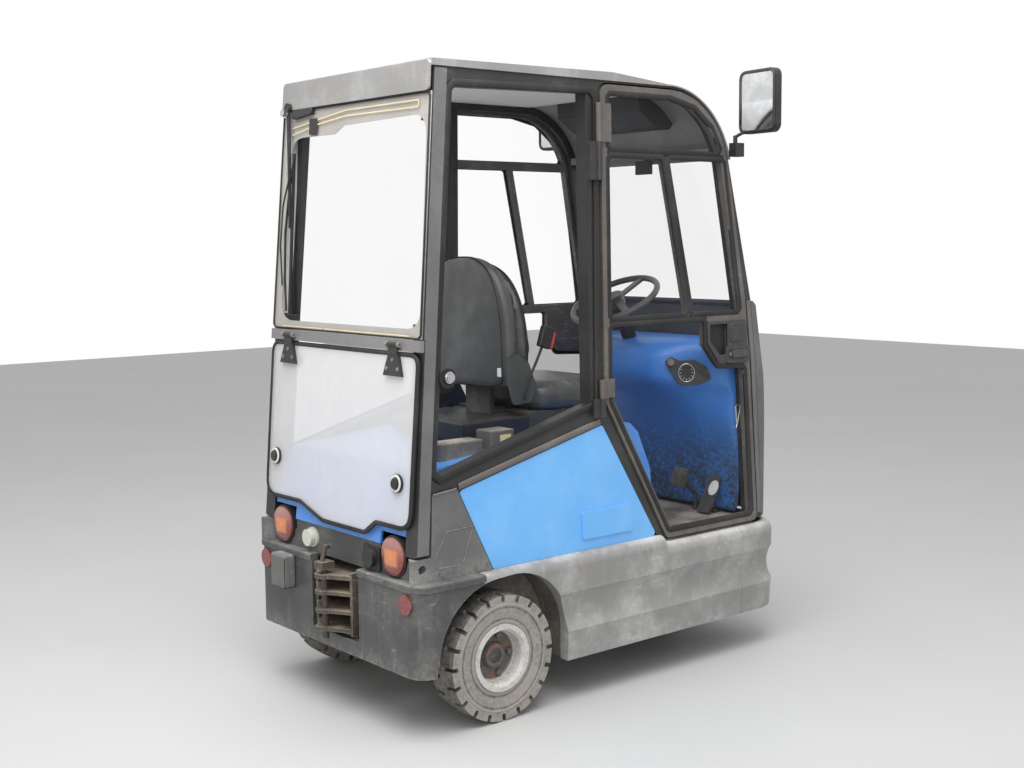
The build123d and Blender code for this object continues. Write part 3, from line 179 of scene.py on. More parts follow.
def wornPaint(name, look):
    finish = Finish(name)
    cloud = finish.noise(wear["cloud"], 5, 0.65)
    speck = finish.noise(wear["speck"], 4, 0.7)
    fine = finish.noise(look.get("grainScale", wear["grain"]), 2, 0.6)
    base = finish.mix(finish.window(cloud, 0.35, 0.7), shade(*look["color"]), shade(*look["second"]))
    dust = finish.window(cloud + speck * 0.5, 0.72, 1.1) * look["dust"]
    # Towards the bottom the overlay colour comes in: dust on most paints, painted shade on the dash
    if "lowDustAndShadeHeights" in look:
        below = 1 - finish.window(finish.part(finish.place, "Z"), *look["lowDustAndShadeHeights"])
        dust = dust + below * look["lowDustAndPaintedShade"] * finish.window(speck + cloud, 0.75, 1.2)
    # Upward faces take the overlay colour: dust, and on the skirts and bumper partly painted light from above
    if "topDustAndPaintedLight" in look:
        top = finish.window(finish.part(finish.facing(), "Z"), 0.5, 0.95)
        dust = dust + top * look["topDustAndPaintedLight"] * finish.window(cloud, 0.3, 0.65)
    # Every upward-tilted face paler, on the roof: dust and painted light from above
    if "upwardDustAndPaintedLight" in look:
        dust = dust + finish.window(finish.part(finish.facing(), "Z"), 0.1, 0.5) * look["upwardDustAndPaintedLight"]
    streak = finish.noise(wear["streak"], 3, 0.6, (1, 1, 0.12))
    dust = finish.clamp(dust + finish.window(streak, 0.58, 0.8) * look["streak"])
    # The dust mask also carries the painted shade and light above, and lays the overlay colour on
    color = finish.mix(dust, base, shade(*look["dustAndPaintedLightColor"]))
    scratch = finish.noise(wear["scratch"], 2, 0.5, (0.12, 0.12, 1))
    patches = finish.window(cloud, 0.4, 0.6)
    scratched = finish.window(scratch * patches, 0.62, 0.66) * look["scratch"]
    edges = finish.edges(wear["edgeWidth"], wear["edgeGain"])
    worn = finish.clamp(scratched + edges * finish.window(speck, 0.38, 0.6) * look["edge"])
    color = finish.mix(worn, color, shade(*look["wornColor"]))
    if "rust" in look:
        rust = finish.noise(look.get("rustScale", wear["rust"]), 6, 0.7)
        rusty = finish.window(rust + worn * 0.1, 0.62, 0.72) * look["rust"]
        color = finish.mix(rusty, color, shade(0.16, 0.06, 0.025))
    rough = finish.clamp(dust * 0.3 + speck * 0.12 + look["rough"])
    metal, coat = look.get("metal", 0.0), look.get("coat", 0.0)
    finish.set(color=color, rough=rough, metal=metal, coat=coat, coatRough=0.15)
    finish.bump(fine * 0.4 + speck * 0.6 - worn * 0.5, look["bump"], 0.0006)
    return finish.material


# A paint that doesn't give one of these takes it from here
usual = dict(rough=0.4, dust=0.2, streak=0.3, scratch=0.1, edge=0.1, bump=0.05)
paints = {
    "castBody": dict(color=(0.062, 0.062, 0.063), second=(0.088, 0.087, 0.088), dustAndPaintedLightColor=(0.3, 0.29, 0.27),
        wornColor=(0.5, 0.49, 0.47), rough=0.42, dust=0.35, scratch=0.2, edge=0.55, bump=0.35,
        lowDustAndShadeHeights=(0.15, 0.3), lowDustAndPaintedShade=0.7, topDustAndPaintedLight=0.45),
    # Skirts and front bumper: the body's cast grey made lighter, partly dust and partly painted light from
    # above, and paler still on top, dust and painted light
    "castSkirtDustAndLight": dict(color=(0.26, 0.257, 0.252), second=(0.36, 0.356, 0.35), dustAndPaintedLightColor=(0.6, 0.59, 0.58),
        wornColor=(0.55, 0.54, 0.52), rough=0.38, dust=0.5, streak=0.2, scratch=0.6, edge=0.5, bump=0.35,
        rustScale=7, rust=0.5, lowDustAndShadeHeights=(0.14, 0.26), lowDustAndPaintedShade=0.1, topDustAndPaintedLight=0.9),
    "frameGrey": dict(color=(0.13, 0.129, 0.13), second=(0.165, 0.163, 0.164), dustAndPaintedLightColor=(0.3, 0.29, 0.28),
        wornColor=(0.34, 0.33, 0.32), rough=0.42, dust=0.18, streak=0.12, scratch=0.12, edge=0.25,
        bump=0.12),
    "frameBlack": dict(color=(0.026, 0.025, 0.025), second=(0.036, 0.034, 0.033),
        dustAndPaintedLightColor=(0.15, 0.14, 0.13), wornColor=(0.2, 0.18, 0.16), streak=0.12, edge=0.35, bump=0.12),
    "sillBrown": dict(color=(0.13, 0.112, 0.105), second=(0.17, 0.15, 0.14), dustAndPaintedLightColor=(0.3, 0.27, 0.25),
        wornColor=(0.42, 0.38, 0.36), dust=0.3, streak=0.2, scratch=0.3, edge=0.6, bump=0.2),
    "boxGrey": dict(color=(0.13, 0.128, 0.125), second=(0.18, 0.176, 0.172), dustAndPaintedLightColor=(0.35, 0.34, 0.32),
        wornColor=(0.5, 0.48, 0.46), rough=0.5, dust=0.5, scratch=0.4, edge=0.6, bump=0.4, topDustAndPaintedLight=0.6),
    "deckSteel": dict(color=(0.12, 0.11, 0.098), second=(0.16, 0.15, 0.13), dustAndPaintedLightColor=(0.42, 0.38, 0.32),
        wornColor=(0.3, 0.28, 0.26), rough=0.65, dust=0.7, streak=0.2, scratch=0.2, edge=0.3, bump=0.5,
        topDustAndPaintedLight=0.9, rust=0.2),
    "platePaint": dict(color=(0.05, 0.056, 0.052), second=(0.075, 0.083, 0.077),
        dustAndPaintedLightColor=(0.24, 0.23, 0.2), wornColor=(0.3, 0.3, 0.28), rough=0.45, dust=0.4, scratch=0.3,
        edge=0.5, bump=0.3, topDustAndPaintedLight=0.3, rust=0.2),
    "railGrey": dict(color=(0.2, 0.196, 0.192), second=(0.24, 0.235, 0.23), dustAndPaintedLightColor=(0.3, 0.29, 0.26),
        wornColor=(0.4, 0.39, 0.38), streak=0.12, scratch=0.15, edge=0.25, bump=0.1),
    "surroundGrey": dict(color=(0.47, 0.445, 0.415), second=(0.52, 0.495, 0.465),
        dustAndPaintedLightColor=(0.56, 0.53, 0.5), wornColor=(0.6, 0.58, 0.55), rough=0.5, streak=0.1, scratch=0.08,
        bump=0.08),
    # Roof: near white on its upward faces, painted light from above with some dust
    "roofGrey": dict(color=(0.27, 0.264, 0.258), second=(0.31, 0.304, 0.298), dustAndPaintedLightColor=(0.84, 0.845, 0.85),
        wornColor=(0.5, 0.5, 0.5), dust=0.15, streak=0.1, edge=0.2, bump=0.1, upwardDustAndPaintedLight=0.85, topDustAndPaintedLight=0.05),
    "doorBrown": dict(color=(0.1, 0.09, 0.083), second=(0.14, 0.125, 0.115), dustAndPaintedLightColor=(0.3, 0.27, 0.23),
        wornColor=(0.45, 0.42, 0.39), dust=0.35, streak=0.25, scratch=0.3, edge=0.4, bump=0.2),
    "coverGrey": dict(color=(0.12, 0.118, 0.119), second=(0.15, 0.148, 0.148), dustAndPaintedLightColor=(0.33, 0.32, 0.31),
        wornColor=(0.4, 0.39, 0.37), rough=0.5, dust=0.3, streak=0.1, scratch=0.2, edge=0.35, bump=0.5,
        lowDustAndShadeHeights=(0.5, 0.58), lowDustAndPaintedShade=0.6, topDustAndPaintedLight=0.4, grainScale=600),
    "panelBlue": dict(color=(0.15, 0.46, 0.92), second=(0.19, 0.51, 0.95), dustAndPaintedLightColor=(0.3, 0.55, 0.88),
        wornColor=(0.5, 0.66, 0.9), rough=0.3, dust=0.12, streak=0.06, scratch=0.05, edge=0.12, bump=0.04,
        coat=0.35),
    "hoodBlue": dict(color=(0.07, 0.27, 0.74), second=(0.09, 0.3, 0.78), dustAndPaintedLightColor=(0.25, 0.38, 0.62),
        wornColor=(0.3, 0.42, 0.7), rough=0.36, streak=0.06, scratch=0.15, edge=0.12, topDustAndPaintedLight=0.25,
        coat=0.25),
    # Dash: dark towards the bottom, painted shade towards the footwell; the same dark colour lies faintly in
    # clouds and streaks
    "dashBlue": dict(color=(0.05, 0.22, 0.68), second=(0.06, 0.25, 0.72), dustAndPaintedLightColor=(0.05, 0.06, 0.08),
        wornColor=(0.3, 0.4, 0.6), rough=0.42, dust=0.12, streak=0.05, bump=0.06, lowDustAndPaintedShade=0.95,
        lowDustAndShadeHeights=(0.55, 1.02), coat=0.2),
    "darkSteel": dict(color=(0.045, 0.043, 0.041), second=(0.06, 0.056, 0.052),
        dustAndPaintedLightColor=(0.26, 0.235, 0.2), wornColor=(0.3, 0.28, 0.26), rough=0.6, dust=0.5, streak=0.2,
        scratch=0.15, edge=0.25, bump=0.5, topDustAndPaintedLight=0.5, rust=0.4),
    "couplingRust": dict(color=(0.085, 0.072, 0.058), second=(0.15, 0.122, 0.095),
        dustAndPaintedLightColor=(0.44, 0.38, 0.29), wornColor=(0.55, 0.5, 0.43), rough=0.55, scratch=0.4, edge=0.7,
        bump=0.6, metal=0.35, topDustAndPaintedLight=0.75, rust=0.6),
    "rearPanelGrey": dict(color=(0.06, 0.062, 0.06), second=(0.08, 0.082, 0.08), dustAndPaintedLightColor=(0.3, 0.3, 0.27),
        wornColor=(0.45, 0.44, 0.42), rough=0.5, dust=0.5, scratch=0.4, edge=0.3, bump=0.4, topDustAndPaintedLight=0.6),
    "blackPlastic": dict(color=(0.016, 0.016, 0.017), second=(0.024, 0.024, 0.025),
        dustAndPaintedLightColor=(0.14, 0.135, 0.125), wornColor=(0.16, 0.16, 0.16), rough=0.42, dust=0.12, streak=0.08,
        edge=0.2, bump=0.3, topDustAndPaintedLight=0.2, grainScale=700),
    "rubberBlack": dict(color=(0.012, 0.012, 0.012), second=(0.02, 0.02, 0.02),
        dustAndPaintedLightColor=(0.11, 0.105, 0.1), wornColor=(0.09, 0.09, 0.09), rough=0.62, dust=0.3, streak=0.1,
        scratch=0.05, bump=0.2),
    "headliner": dict(color=(0.86, 0.85, 0.81), second=(0.9, 0.89, 0.86), dustAndPaintedLightColor=(0.7, 0.68, 0.63),
        wornColor=(0.5, 0.5, 0.5), rough=0.8, dust=0.1, streak=0.05, scratch=0.0, edge=0.0, bump=0.3),
    "consoleGrey": dict(color=(0.045, 0.045, 0.046), second=(0.06, 0.06, 0.061), dustAndPaintedLightColor=(0.2, 0.2, 0.19),
        wornColor=(0.2, 0.2, 0.2), rough=0.55, streak=0.05, bump=0.4),
    "chrome": dict(color=(0.55, 0.55, 0.56), second=(0.62, 0.62, 0.63), dustAndPaintedLightColor=(0.4, 0.38, 0.35),
        wornColor=(0.8, 0.8, 0.8), rough=0.16, dust=0.15, streak=0.05, metal=1.0),
    "boltSteel": dict(color=(0.2, 0.19, 0.18), second=(0.3, 0.28, 0.26), dustAndPaintedLightColor=(0.3, 0.26, 0.2),
        wornColor=(0.5, 0.48, 0.45), rough=0.45, dust=0.4, streak=0.0, scratch=0.3, edge=0.3, bump=0.2,
        metal=0.7, rust=0.3),
    "creamLine": dict(color=(0.72, 0.6, 0.33), second=(0.78, 0.67, 0.4), dustAndPaintedLightColor=(0.5, 0.45, 0.35),
        wornColor=(0.8, 0.7, 0.5), rough=0.5, streak=0.0),
    "batteryCase": dict(color=(0.05, 0.05, 0.052), second=(0.07, 0.07, 0.07), dustAndPaintedLightColor=(0.2, 0.19, 0.17),
        wornColor=(0.2, 0.2, 0.2), rough=0.6, dust=0.4, streak=0.1, edge=0.2, bump=0.3, topDustAndPaintedLight=0.5),
    "buttonPale": dict(color=(0.58, 0.6, 0.52), second=(0.64, 0.66, 0.58), dustAndPaintedLightColor=(0.4, 0.38, 0.3),
        wornColor=(0.7, 0.7, 0.65), dust=0.35, streak=0.2, scratch=0.2, bump=0.15, topDustAndPaintedLight=0.3),
    "buckleRed": dict(color=(0.6, 0.03, 0.02), second=(0.66, 0.05, 0.03), dustAndPaintedLightColor=(0.5, 0.2, 0.15),
        wornColor=(0.7, 0.2, 0.15), rough=0.35, dust=0.1, streak=0.0),
    "paleTag": dict(color=(0.7, 0.7, 0.68), second=(0.76, 0.76, 0.74), dustAndPaintedLightColor=(0.5, 0.48, 0.44),
        wornColor=(0.6, 0.6, 0.6), rough=0.6, dust=0.25, streak=0.0, edge=0.05),
}
finishes = {name: wornPaint(name, {**usual, **look}) for name, look in paints.items()}


# Panes: nearly clear, with grime in clouds, wiped marks and specks
def glassFinish(name, look):
    finish = Finish(name)
    cloud = finish.noise(3.5, 5, 0.65)
    speck = finish.noise(120, 3, 0.7)
    wipe = finish.noise(7, 4, 0.7, (1, 1, 0.35))
    grime = finish.window(cloud + wipe * 0.6 + speck * 0.15, 0.8, 1.25) * look["grime"]
    rim = finish.node("Fresnel", None, {"IOR": 1.45})
    alpha = grime + rim * look["shine"] + look["tint"]
    if look.get("sideTint"):
        side = finish.absolute(finish.part(finish.facing(), "Y"))
        alpha = alpha + finish.window(side, 0.5, 0.8) * look["sideTint"]
    color = finish.mix(finish.window(grime, 0, 0.12), shade(*look["color"]), shade(*look["grimeColor"]))
    rough = finish.clamp(grime * 0.6 + look["rough"])
    finish.set(color=color, rough=rough, alpha=finish.clamp(alpha), specular=0.8)
    finish.material.use_transparent_shadow = True
    return finish.material


glasses = {
    "paneClear": dict(
        color=(0.05, 0.055, 0.06), grimeColor=(0.45, 0.45, 0.43), tint=0.0, shine=0.06, grime=0.005,
        rough=0.03, sideTint=0.002),
    "doorPane": dict(
        color=(0.04, 0.045, 0.05), grimeColor=(0.4, 0.4, 0.38), tint=0.002, shine=0.08, grime=0.007,
        rough=0.03),
    "hatchPane": dict(
        color=(0.97, 0.97, 0.98), grimeColor=(0.94, 0.93, 0.91), tint=0.42, shine=0.1, grime=0.1, rough=0.3
    ),
}
for name, look in glasses.items():
    finishes[name] = glassFinish(name, look)


# Wheels: dust and grooves that follow the distance from the axle, in metres
def wheelRadius(finish, axle):
    away = finish.node("VectorMath", {"operation": "SUBTRACT"}, {0: finish.place, 1: axle})
    flat = finish.node("VectorMath", {"operation": "MULTIPLY"}, {0: away, 1: (1, 0, 1)})
    return finish.node("VectorMath", {"operation": "LENGTH"}, {0: flat}, out="Value")


def ringAt(finish, radius, middle, half):
    return finish.window(radius, middle - half, middle) * finish.window(radius, middle + half, middle)


def tyreFinish(name, axle):
    finish = Finish(name)
    radius = wheelRadius(finish, axle)
    speck = finish.noise(70, 4, 0.7)
    cloud = finish.noise(9, 4, 0.6)
    flank = finish.window(finish.absolute(finish.part(finish.facing(), "Y")), 0.4, 0.9)
    lip = ringAt(finish, radius, 0.176, 0.006) + ringAt(finish, radius, 0.118, 0.01)
    groove = ringAt(finish, radius, 0.167, 0.005) + ringAt(finish, radius, 0.129, 0.006)
    spread = finish.window(speck + cloud * 0.6, 0.5, 1.05) * 0.6
    dust = finish.clamp(spread + flank * 0.55 + lip * flank * 0.4 - groove * flank * 0.45)
    color = finish.mix(dust, shade(0.055, 0.05, 0.046), shade(0.34, 0.315, 0.285))
    finish.set(color=color, rough=0.82)
    band = finish.window(radius, 0.135, 0.14) * finish.window(radius, 0.162, 0.157)
    pitted = band * finish.window(finish.noise(60, 2, 0.5), 0.45, 0.55)
    finish.bump(speck * 0.5 + cloud * 0.4 + lip * 2 - groove * 2 + pitted * 0.3, 0.7, 0.0018)
    return finish.material


def rimFinish(name, axle):
    finish = Finish(name)
    radius = wheelRadius(finish, axle)
    speck = finish.noise(80, 4, 0.7)
    cloud = finish.noise(26, 5, 0.7)
    flange = finish.window(radius, 0.078, 0.084)
    dusty = finish.window(speck + cloud * 0.5, 0.6, 1.1)
    bright = finish.mix(dusty, shade(0.62, 0.6, 0.58), shade(0.36, 0.33, 0.3))
    rusty = finish.window(cloud, 0.5, 0.66)
    dish = finish.mix(rusty, shade(0.1, 0.1, 0.098), shade(0.26, 0.13, 0.08))
    dish = finish.mix(finish.window(speck, 0.5, 0.75) * 0.6, dish, shade(0.24, 0.21, 0.19))
    finish.set(color=finish.mix(flange, dish, bright), rough=0.62)
    finish.bump(speck * 0.6 + cloud * 0.6, 0.6, 0.0014)
    return finish.material


# Tail lamps: red lenses with an amber field in the middle of each
def lensFinish(name, center, look):
    finish = Finish(name)
    offset = finish.node("VectorMath", {"operation": "SUBTRACT"}, {0: finish.place, 1: center})
    height = finish.part(offset, "Z")
    speck = finish.noise(80, 3, 0.6)
    bands = {"wave_type": "BANDS", "bands_direction": "Z"}
    ribs = finish.node("TexWave", bands, {"Vector": finish.place, "Scale": 60.0, "Distortion": 0.0})
    beside = finish.absolute(finish.absolute(finish.part(finish.place, "Y")) - look["across"])
    amber = finish.window(height, 0.03, 0.016) * finish.window(height, -0.036, -0.022)
    amber = amber * finish.window(beside, 0.044, 0.024)
    color = finish.mix(finish.window(height, -0.03, 0.045), shade(*look["foot"]), shade(*look["color"]))
    color = finish.mix(amber * look["amber"], color, shade(0.72, 0.24, 0.07))
    color = finish.mix(finish.window(speck, 0.4, 0.75) * 0.25, color, shade(0.42, 0.26, 0.22))
    finish.set(color=color, rough=0.2, coat=0.6, glow=color, glowStrength=0.06)
    finish.bump(ribs, 0.3, 0.0008)
    return finish.material


axles = {
    "front": (0.605, 0, 0.2115), "rear_left": (-0.528, 0.433, 0.2115),
    "rear_right": (-0.528, -0.433, 0.2115),
}
for wheel, axle in axles.items():
    finishes[f"tyre_{wheel}"] = tyreFinish(f"tyreRubber_{wheel}", axle)
    finishes[f"rim_{wheel}"] = rimFinish(f"rimPaint_{wheel}", axle)
tailLens = dict(color=(0.36, 0.15, 0.13), foot=(0.2, 0.02, 0.018), across=0.34, amber=0.9)
finishes["tailLens"] = lensFinish("tailLens", (0, 0, 0.575), tailLens)


# Plain pieces: one colour, a little lighter in clouds, over a fine grain
def plainLook(name, color, rough, grain, bumpSize, **more):
    finish = Finish(name)
    cloud = finish.noise(8, 4, 0.6)
    cells = {"Vector": finish.place, "Scale": grain}
    fine = finish.node("TexVoronoi", {"feature": "F1"}, cells, out="Distance")
    lighter = tuple(min(1, c * 1.7 + 0.012) for c in color)
    mixed = finish.mix(finish.window(cloud, 0.4, 0.75), shade(*color), shade(*lighter))
    finish.set(color=mixed, rough=finish.clamp(cloud * 0.15 + rough), **more)
    finish.bump(fine, bumpSize, 0.0008)
    return finish.material


finishes["seatVinyl"] = plainLook(
    "seatVinyl", (0.068, 0.069, 0.067), 0.3, 900, 0.35, coat=0.25, coatRough=0.35)
finishes["lampGlass"] = plainLook("lampGlass", (0.62, 0.64, 0.66), 0.1, 180, 0.5, coat=0.8)
finishes["mirrorGlass"] = plainLook("mirrorGlass", (0.62, 0.63, 0.64), 0.02, 10, 0.0, metal=1.0)
print("finishes:", len(finishes))

nodeFinish = {
    "rear_body": "castBody", "chassis": "deckSteel", "drive_axle": "darkSteel", "battery": "batteryCase",
    "hood": "hoodBlue", "side_panels": "panelBlue", "corner_covers": "coverGrey",
    "rear_panel": "rearPanelGrey", "rear_fittings": "blackPlastic", "rear_lenses": "tailLens",
    "push_button": "buttonPale", "coupling": "couplingRust", "coupling_pin": "couplingRust",
    "side_skirts": "castSkirtDustAndLight", "front_bumper": "castSkirtDustAndLight", "front_cowl": "coverGrey",
    "headlamps": "lampGlass", "side_frames": "frameBlack", "cross_rails": "railGrey", "roof": "roofGrey",
    "cab_glass": "paneClear", "rear_surround": "surroundGrey", "door_buffers": "rubberBlack",
    "instrument_panel": "blackPlastic", "roof_console": "consoleGrey", "hatch_pane": "hatchPane",
    "hatch_fittings": "blackPlastic", "seat_cushion": "seatVinyl", "seat_back": "seatVinyl",
    "seat_base": "darkSteel", "dash": "dashBlue", "steering_column": "blackPlastic",
    "steering_wheel": "seatVinyl", "pedals": "darkSteel", "mirrors": "blackPlastic",
    "wipers": "rubberBlack", "steering_fork": "darkSteel",
}
for side in ("left", "right"):
    nodeFinish[f"door_frame_{side}"] = "doorBrown"
    nodeFinish[f"door_glass_{side}"] = "doorPane"
    nodeFinish[f"door_latch_{side}"] = "consoleGrey"
for wheel in axles:
    nodeFinish[f"tyre_{wheel}"] = f"tyre_{wheel}"
    nodeFinish[f"rim_{wheel}"] = f"rim_{wheel}"
for name, node in nodes.items():
    node.data.materials.clear()
    node.data.materials.append(finishes[nodeFinish[name]])
print("CAD nodes dressed")


# Making and placing pieces. A slot is looked up from each piece's finish unless it gives one of its own,
# though the piece does not keep it
finishSlots = {
    "rubberBlack": "black_plastic", "blackPlastic": "black_plastic", "consoleGrey": "black_plastic",
    "chrome": "worn_steel", "boltSteel": "worn_steel", "creamLine": "button_plastic",
    "paleTag": "button_plastic", "frameGrey": "frame_paint", "sillBrown": "frame_paint",
    "boxGrey": "grey_paint", "headliner": "roof_paint",
}


def addPiece(name, mesh, finish, body="body", slot=None, matrix=None):
    slot = slot or finishSlots[finish]
    if matrix is not None:
        mesh.transform(matrix)
    work = bmesh.new()
    work.from_mesh(mesh)
    bmesh.ops.remove_doubles(work, verts=work.verts, dist=0.00002)
    bmesh.ops.recalc_face_normals(work, faces=work.faces)
    work.to_mesh(mesh)
    work.free()
    piece = newObject(name, mesh)
    mesh.materials.clear()
    mesh.materials.append(finishes[finish])
    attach(piece, body)
    return piece


def nodeTree(name, inputs):
    tree = bpy.data.node_groups.new(name, "GeometryNodeTree")
    tree.interface.new_socket("Geometry", in_out="INPUT", socket_type="NodeSocketGeometry")
    for label, kind, value in inputs:
        socket = tree.interface.new_socket(label, in_out="INPUT", socket_type="NodeSocket" + kind)
        if value is not None:
            socket.default_value = value
    tree.interface.new_socket("Geometry", in_out="OUTPUT", socket_type="NodeSocketGeometry")
    return tree, tree.nodes.new("NodeGroupInput").outputs, tree.nodes.new("NodeGroupOutput").inputs


def treeNode(tree, kind, settings=None, sockets=None):
    made = tree.nodes.new(kind)
    for key, value in (settings or {}).items():
        setattr(made, key, value)
    for key, value in (sockets or {}).items():
        if isinstance(value, bpy.types.NodeSocket):
            tree.links.new(value, made.inputs[key])
        else:
            made.inputs[key].default_value = value
    return made


def finishTree(tree, made, given, end):
    real = treeNode(tree, "GeometryNodeRealizeInstances", None, {0: made.outputs[0]})
    paint = {"Geometry": real.outputs[0], "Material": given["Material"]}
    tree.links.new(treeNode(tree, "GeometryNodeSetMaterial", None, paint).outputs[0], end[0])


# A strip with a soft rectangular section along a line of points
def trimTree():
    inputs = [("Corner", "Float", 0.02), ("Width", "Float", 0.01), ("Height", "Float", 0.006),
              ("Edge Radius", "Float", 0.001), ("Material", "Material", None)]
    tree, given, end = nodeTree("trimAlongEdge", inputs)

    def fillet(line, radius):
        sockets = {"Curve": line.outputs[0], "Radius": given[radius], "Limit Radius": True}
        return treeNode(tree, "GeometryNodeFilletCurve", None, sockets)

    curve = treeNode(tree, "GeometryNodeMeshToCurve", None, {0: given["Geometry"]})
    level = treeNode(tree, "GeometryNodeSetCurveNormal", None, {"Curve": fillet(curve, "Corner").outputs[0]})
    size = {"Width": given["Width"], "Height": given["Height"]}
    section = treeNode(tree, "GeometryNodeCurvePrimitiveQuadrilateral", {"mode": "RECTANGLE"}, size)
    profile = fillet(section, "Edge Radius").outputs[0]
    sweep = {"Curve": level.outputs[0], "Profile Curve": profile, "Fill Caps": True}
    finishTree(tree, treeNode(tree, "GeometryNodeCurveToMesh", None, sweep), given, end)
    return tree


# A turned head with its washer on every point
def headTree():
    inputs = [("Radius", "Float", 0.006), ("Height", "Float", 0.004), ("Sides", "Int", 6),
              ("Washer", "Float", 0.009), ("Material", "Material", None)]
    tree, given, end = nodeTree("fastenerHeads", inputs)
    size = {"Vertices": given["Sides"], "Radius": given["Radius"], "Depth": given["Height"]}
    head = treeNode(tree, "GeometryNodeMeshCylinder", None, size)
    size = {"Vertices": 16, "Radius": given["Washer"], "Depth": 0.0016}
    ring = treeNode(tree, "GeometryNodeMeshCylinder", None, size)
    half = treeNode(tree, "ShaderNodeMath", {"operation": "MULTIPLY"}, {0: given["Height"], 1: 0.5})
    lifted = treeNode(tree, "ShaderNodeCombineXYZ", None, {2: half.outputs[0]})
    move = {"Geometry": head.outputs[0], "Translation": lifted.outputs[0]}
    raised = treeNode(tree, "GeometryNodeTransform", None, move)
    both = treeNode(tree, "GeometryNodeJoinGeometry")
    tree.links.new(raised.outputs[0], both.inputs[0])
    tree.links.new(ring.outputs[0], both.inputs[0])
    turns = treeNode(tree, "FunctionNodeRandomValue", {"data_type": "FLOAT"}, {"Max": 6.283, "Seed": 4})
    aim = treeNode(tree, "ShaderNodeCombineXYZ", None, {2: turns.outputs[1]})
    spread = {"Points": given["Geometry"], "Instance": both.outputs[0], "Rotation": aim.outputs[0]}
    finishTree(tree, treeNode(tree, "GeometryNodeInstanceOnPoints", None, spread), given, end)
    return tree


trimAlongEdge = trimTree()
fastenerHeads = headTree()


def newObject(name, data):
    made = bpy.data.objects.new(name, data)
    scene.collection.objects.link(made)
    return made


def evaluated(holder):
    return bpy.data.meshes.new_from_object(holder.evaluated_get(bpy.context.evaluated_depsgraph_get()))


def meshOf(curve):
    helper = newObject("helper", curve)
    bpy.context.view_layer.update()
    mesh = evaluated(helper)
    bpy.data.objects.remove(helper)
    return mesh


# The sizes that pieces are made from are in millimetres, and their meshes in metres
def grow(tree, mesh, finish, sizes, counts=None):
    values = {label: size / 1000 for label, size in sizes.items()}
    values.update(counts or {}, Material=finishes[finish])
    helper = newObject("helper", mesh)
    modifier = helper.modifiers.new("grow", "NODES")
    modifier.node_group = tree
    for item in tree.interface.items_tree:
        if item.item_type == "SOCKET" and item.in_out == "INPUT" and item.name in values:
            modifier[item.identifier] = values[item.name]
    bpy.context.view_layer.update()
    grown = evaluated(helper)
    bpy.data.objects.remove(helper)
    return grown


def outline(corners, closed=True):
    mesh = bpy.data.meshes.new("outline")
    points = [(x / 1000, z / 1000, 0) for x, z in corners]
    links = [(i, i + 1) for i in range(len(points) - 1)]
    if closed:
        links.append((len(points) - 1, 0))
    mesh.from_pydata(points, links, [])
    return mesh


def trim(
    name, wall, corners, width, height, lift, finish, body="body", slot=None, corner=20, edge=1, closed=True
):
    sizes = {"Corner": corner, "Width": width, "Height": height, "Edge Radius": edge}
    swept = grow(trimAlongEdge, outline(corners, closed), finish, sizes)
    return addPiece(name, swept, finish, body, slot, wallMatrix(wall, lift))


def strip(name, wall, line, width, height, lift, finish, body="body", edge=1):
    return trim(name, wall, line, width, height, lift, finish, body, corner=1, edge=edge, closed=False)


def fasteners(name, wall, spots, radius, height, lift, finish, body="body", slot=None, sides=6, washer=None):
    sizes = {"Radius": radius, "Height": height, "Washer": washer or radius * 1.4}
    grown = grow(fastenerHeads, outline(spots, False), finish, sizes, {"Sides": sides})
    return addPiece(name, grown, finish, body, slot, wallMatrix(wall, lift))


def circle(across, high, count, middle=(0, 0)):
    turns = [step / count * math.tau for step in range(count)]
    return [(middle[0] + across * math.cos(turn), middle[1] + high * math.sin(turn)) for turn in turns]


def rounded(corners, radii, steps=6):
    points = []
    for i, corner in enumerate(corners):
        radius = radii[i] if isinstance(radii, (list, tuple)) else radii
        here = Vector(corner)
        back = (Vector(corners[i - 1]) - here)
        ahead = (Vector(corners[(i + 1) % len(corners)]) - here)
        spread = back.angle(ahead) / 2
        reach = min(radius / math.tan(spread), back.length * 0.49, ahead.length * 0.49)
        first, last = here + back.normalized() * reach, here + ahead.normalized() * reach
        for step in range(steps + 1):
            t = step / steps
            points.append(tuple(first * (1 - t) ** 2 + here * 2 * t * (1 - t) + last * t * t))
    return points


def plate(name, wall, edge, holes, thickness, lift, finish, body="body", slot=None, bevel=0.0):
    flat = bpy.data.curves.new(name, "CURVE")
    flat.dimensions = "2D"
    flat.fill_mode = "BOTH"
    flat.extrude = thickness / 2000
    flat.bevel_depth, flat.bevel_resolution = bevel / 1000, 1
    for ring in [edge] + holes:
        spline = flat.splines.new("POLY")
        spline.points.add(len(ring) - 1)
        for point, (x, z) in zip(spline.points, ring):
            point.co = (x / 1000, z / 1000, 0, 1)
        spline.use_cyclic_u = True
    return addPiece(name, meshOf(flat), finish, body, slot, wallMatrix(wall, lift))


# Side window rubber, on both sides of the cab
sideWindow = dict(
    corners=[(-677, 2055), (-60, 2068), (-68, 1008), (-779, 815)], width=26, height=8, lift=-4.5)
for side in ("right", "left"):
    trim(
        f"windowRubber_{side}", side, sideWindow["corners"], sideWindow["width"], sideWindow["height"],
        sideWindow["lift"], "rubberBlack", corner=22, edge=2)

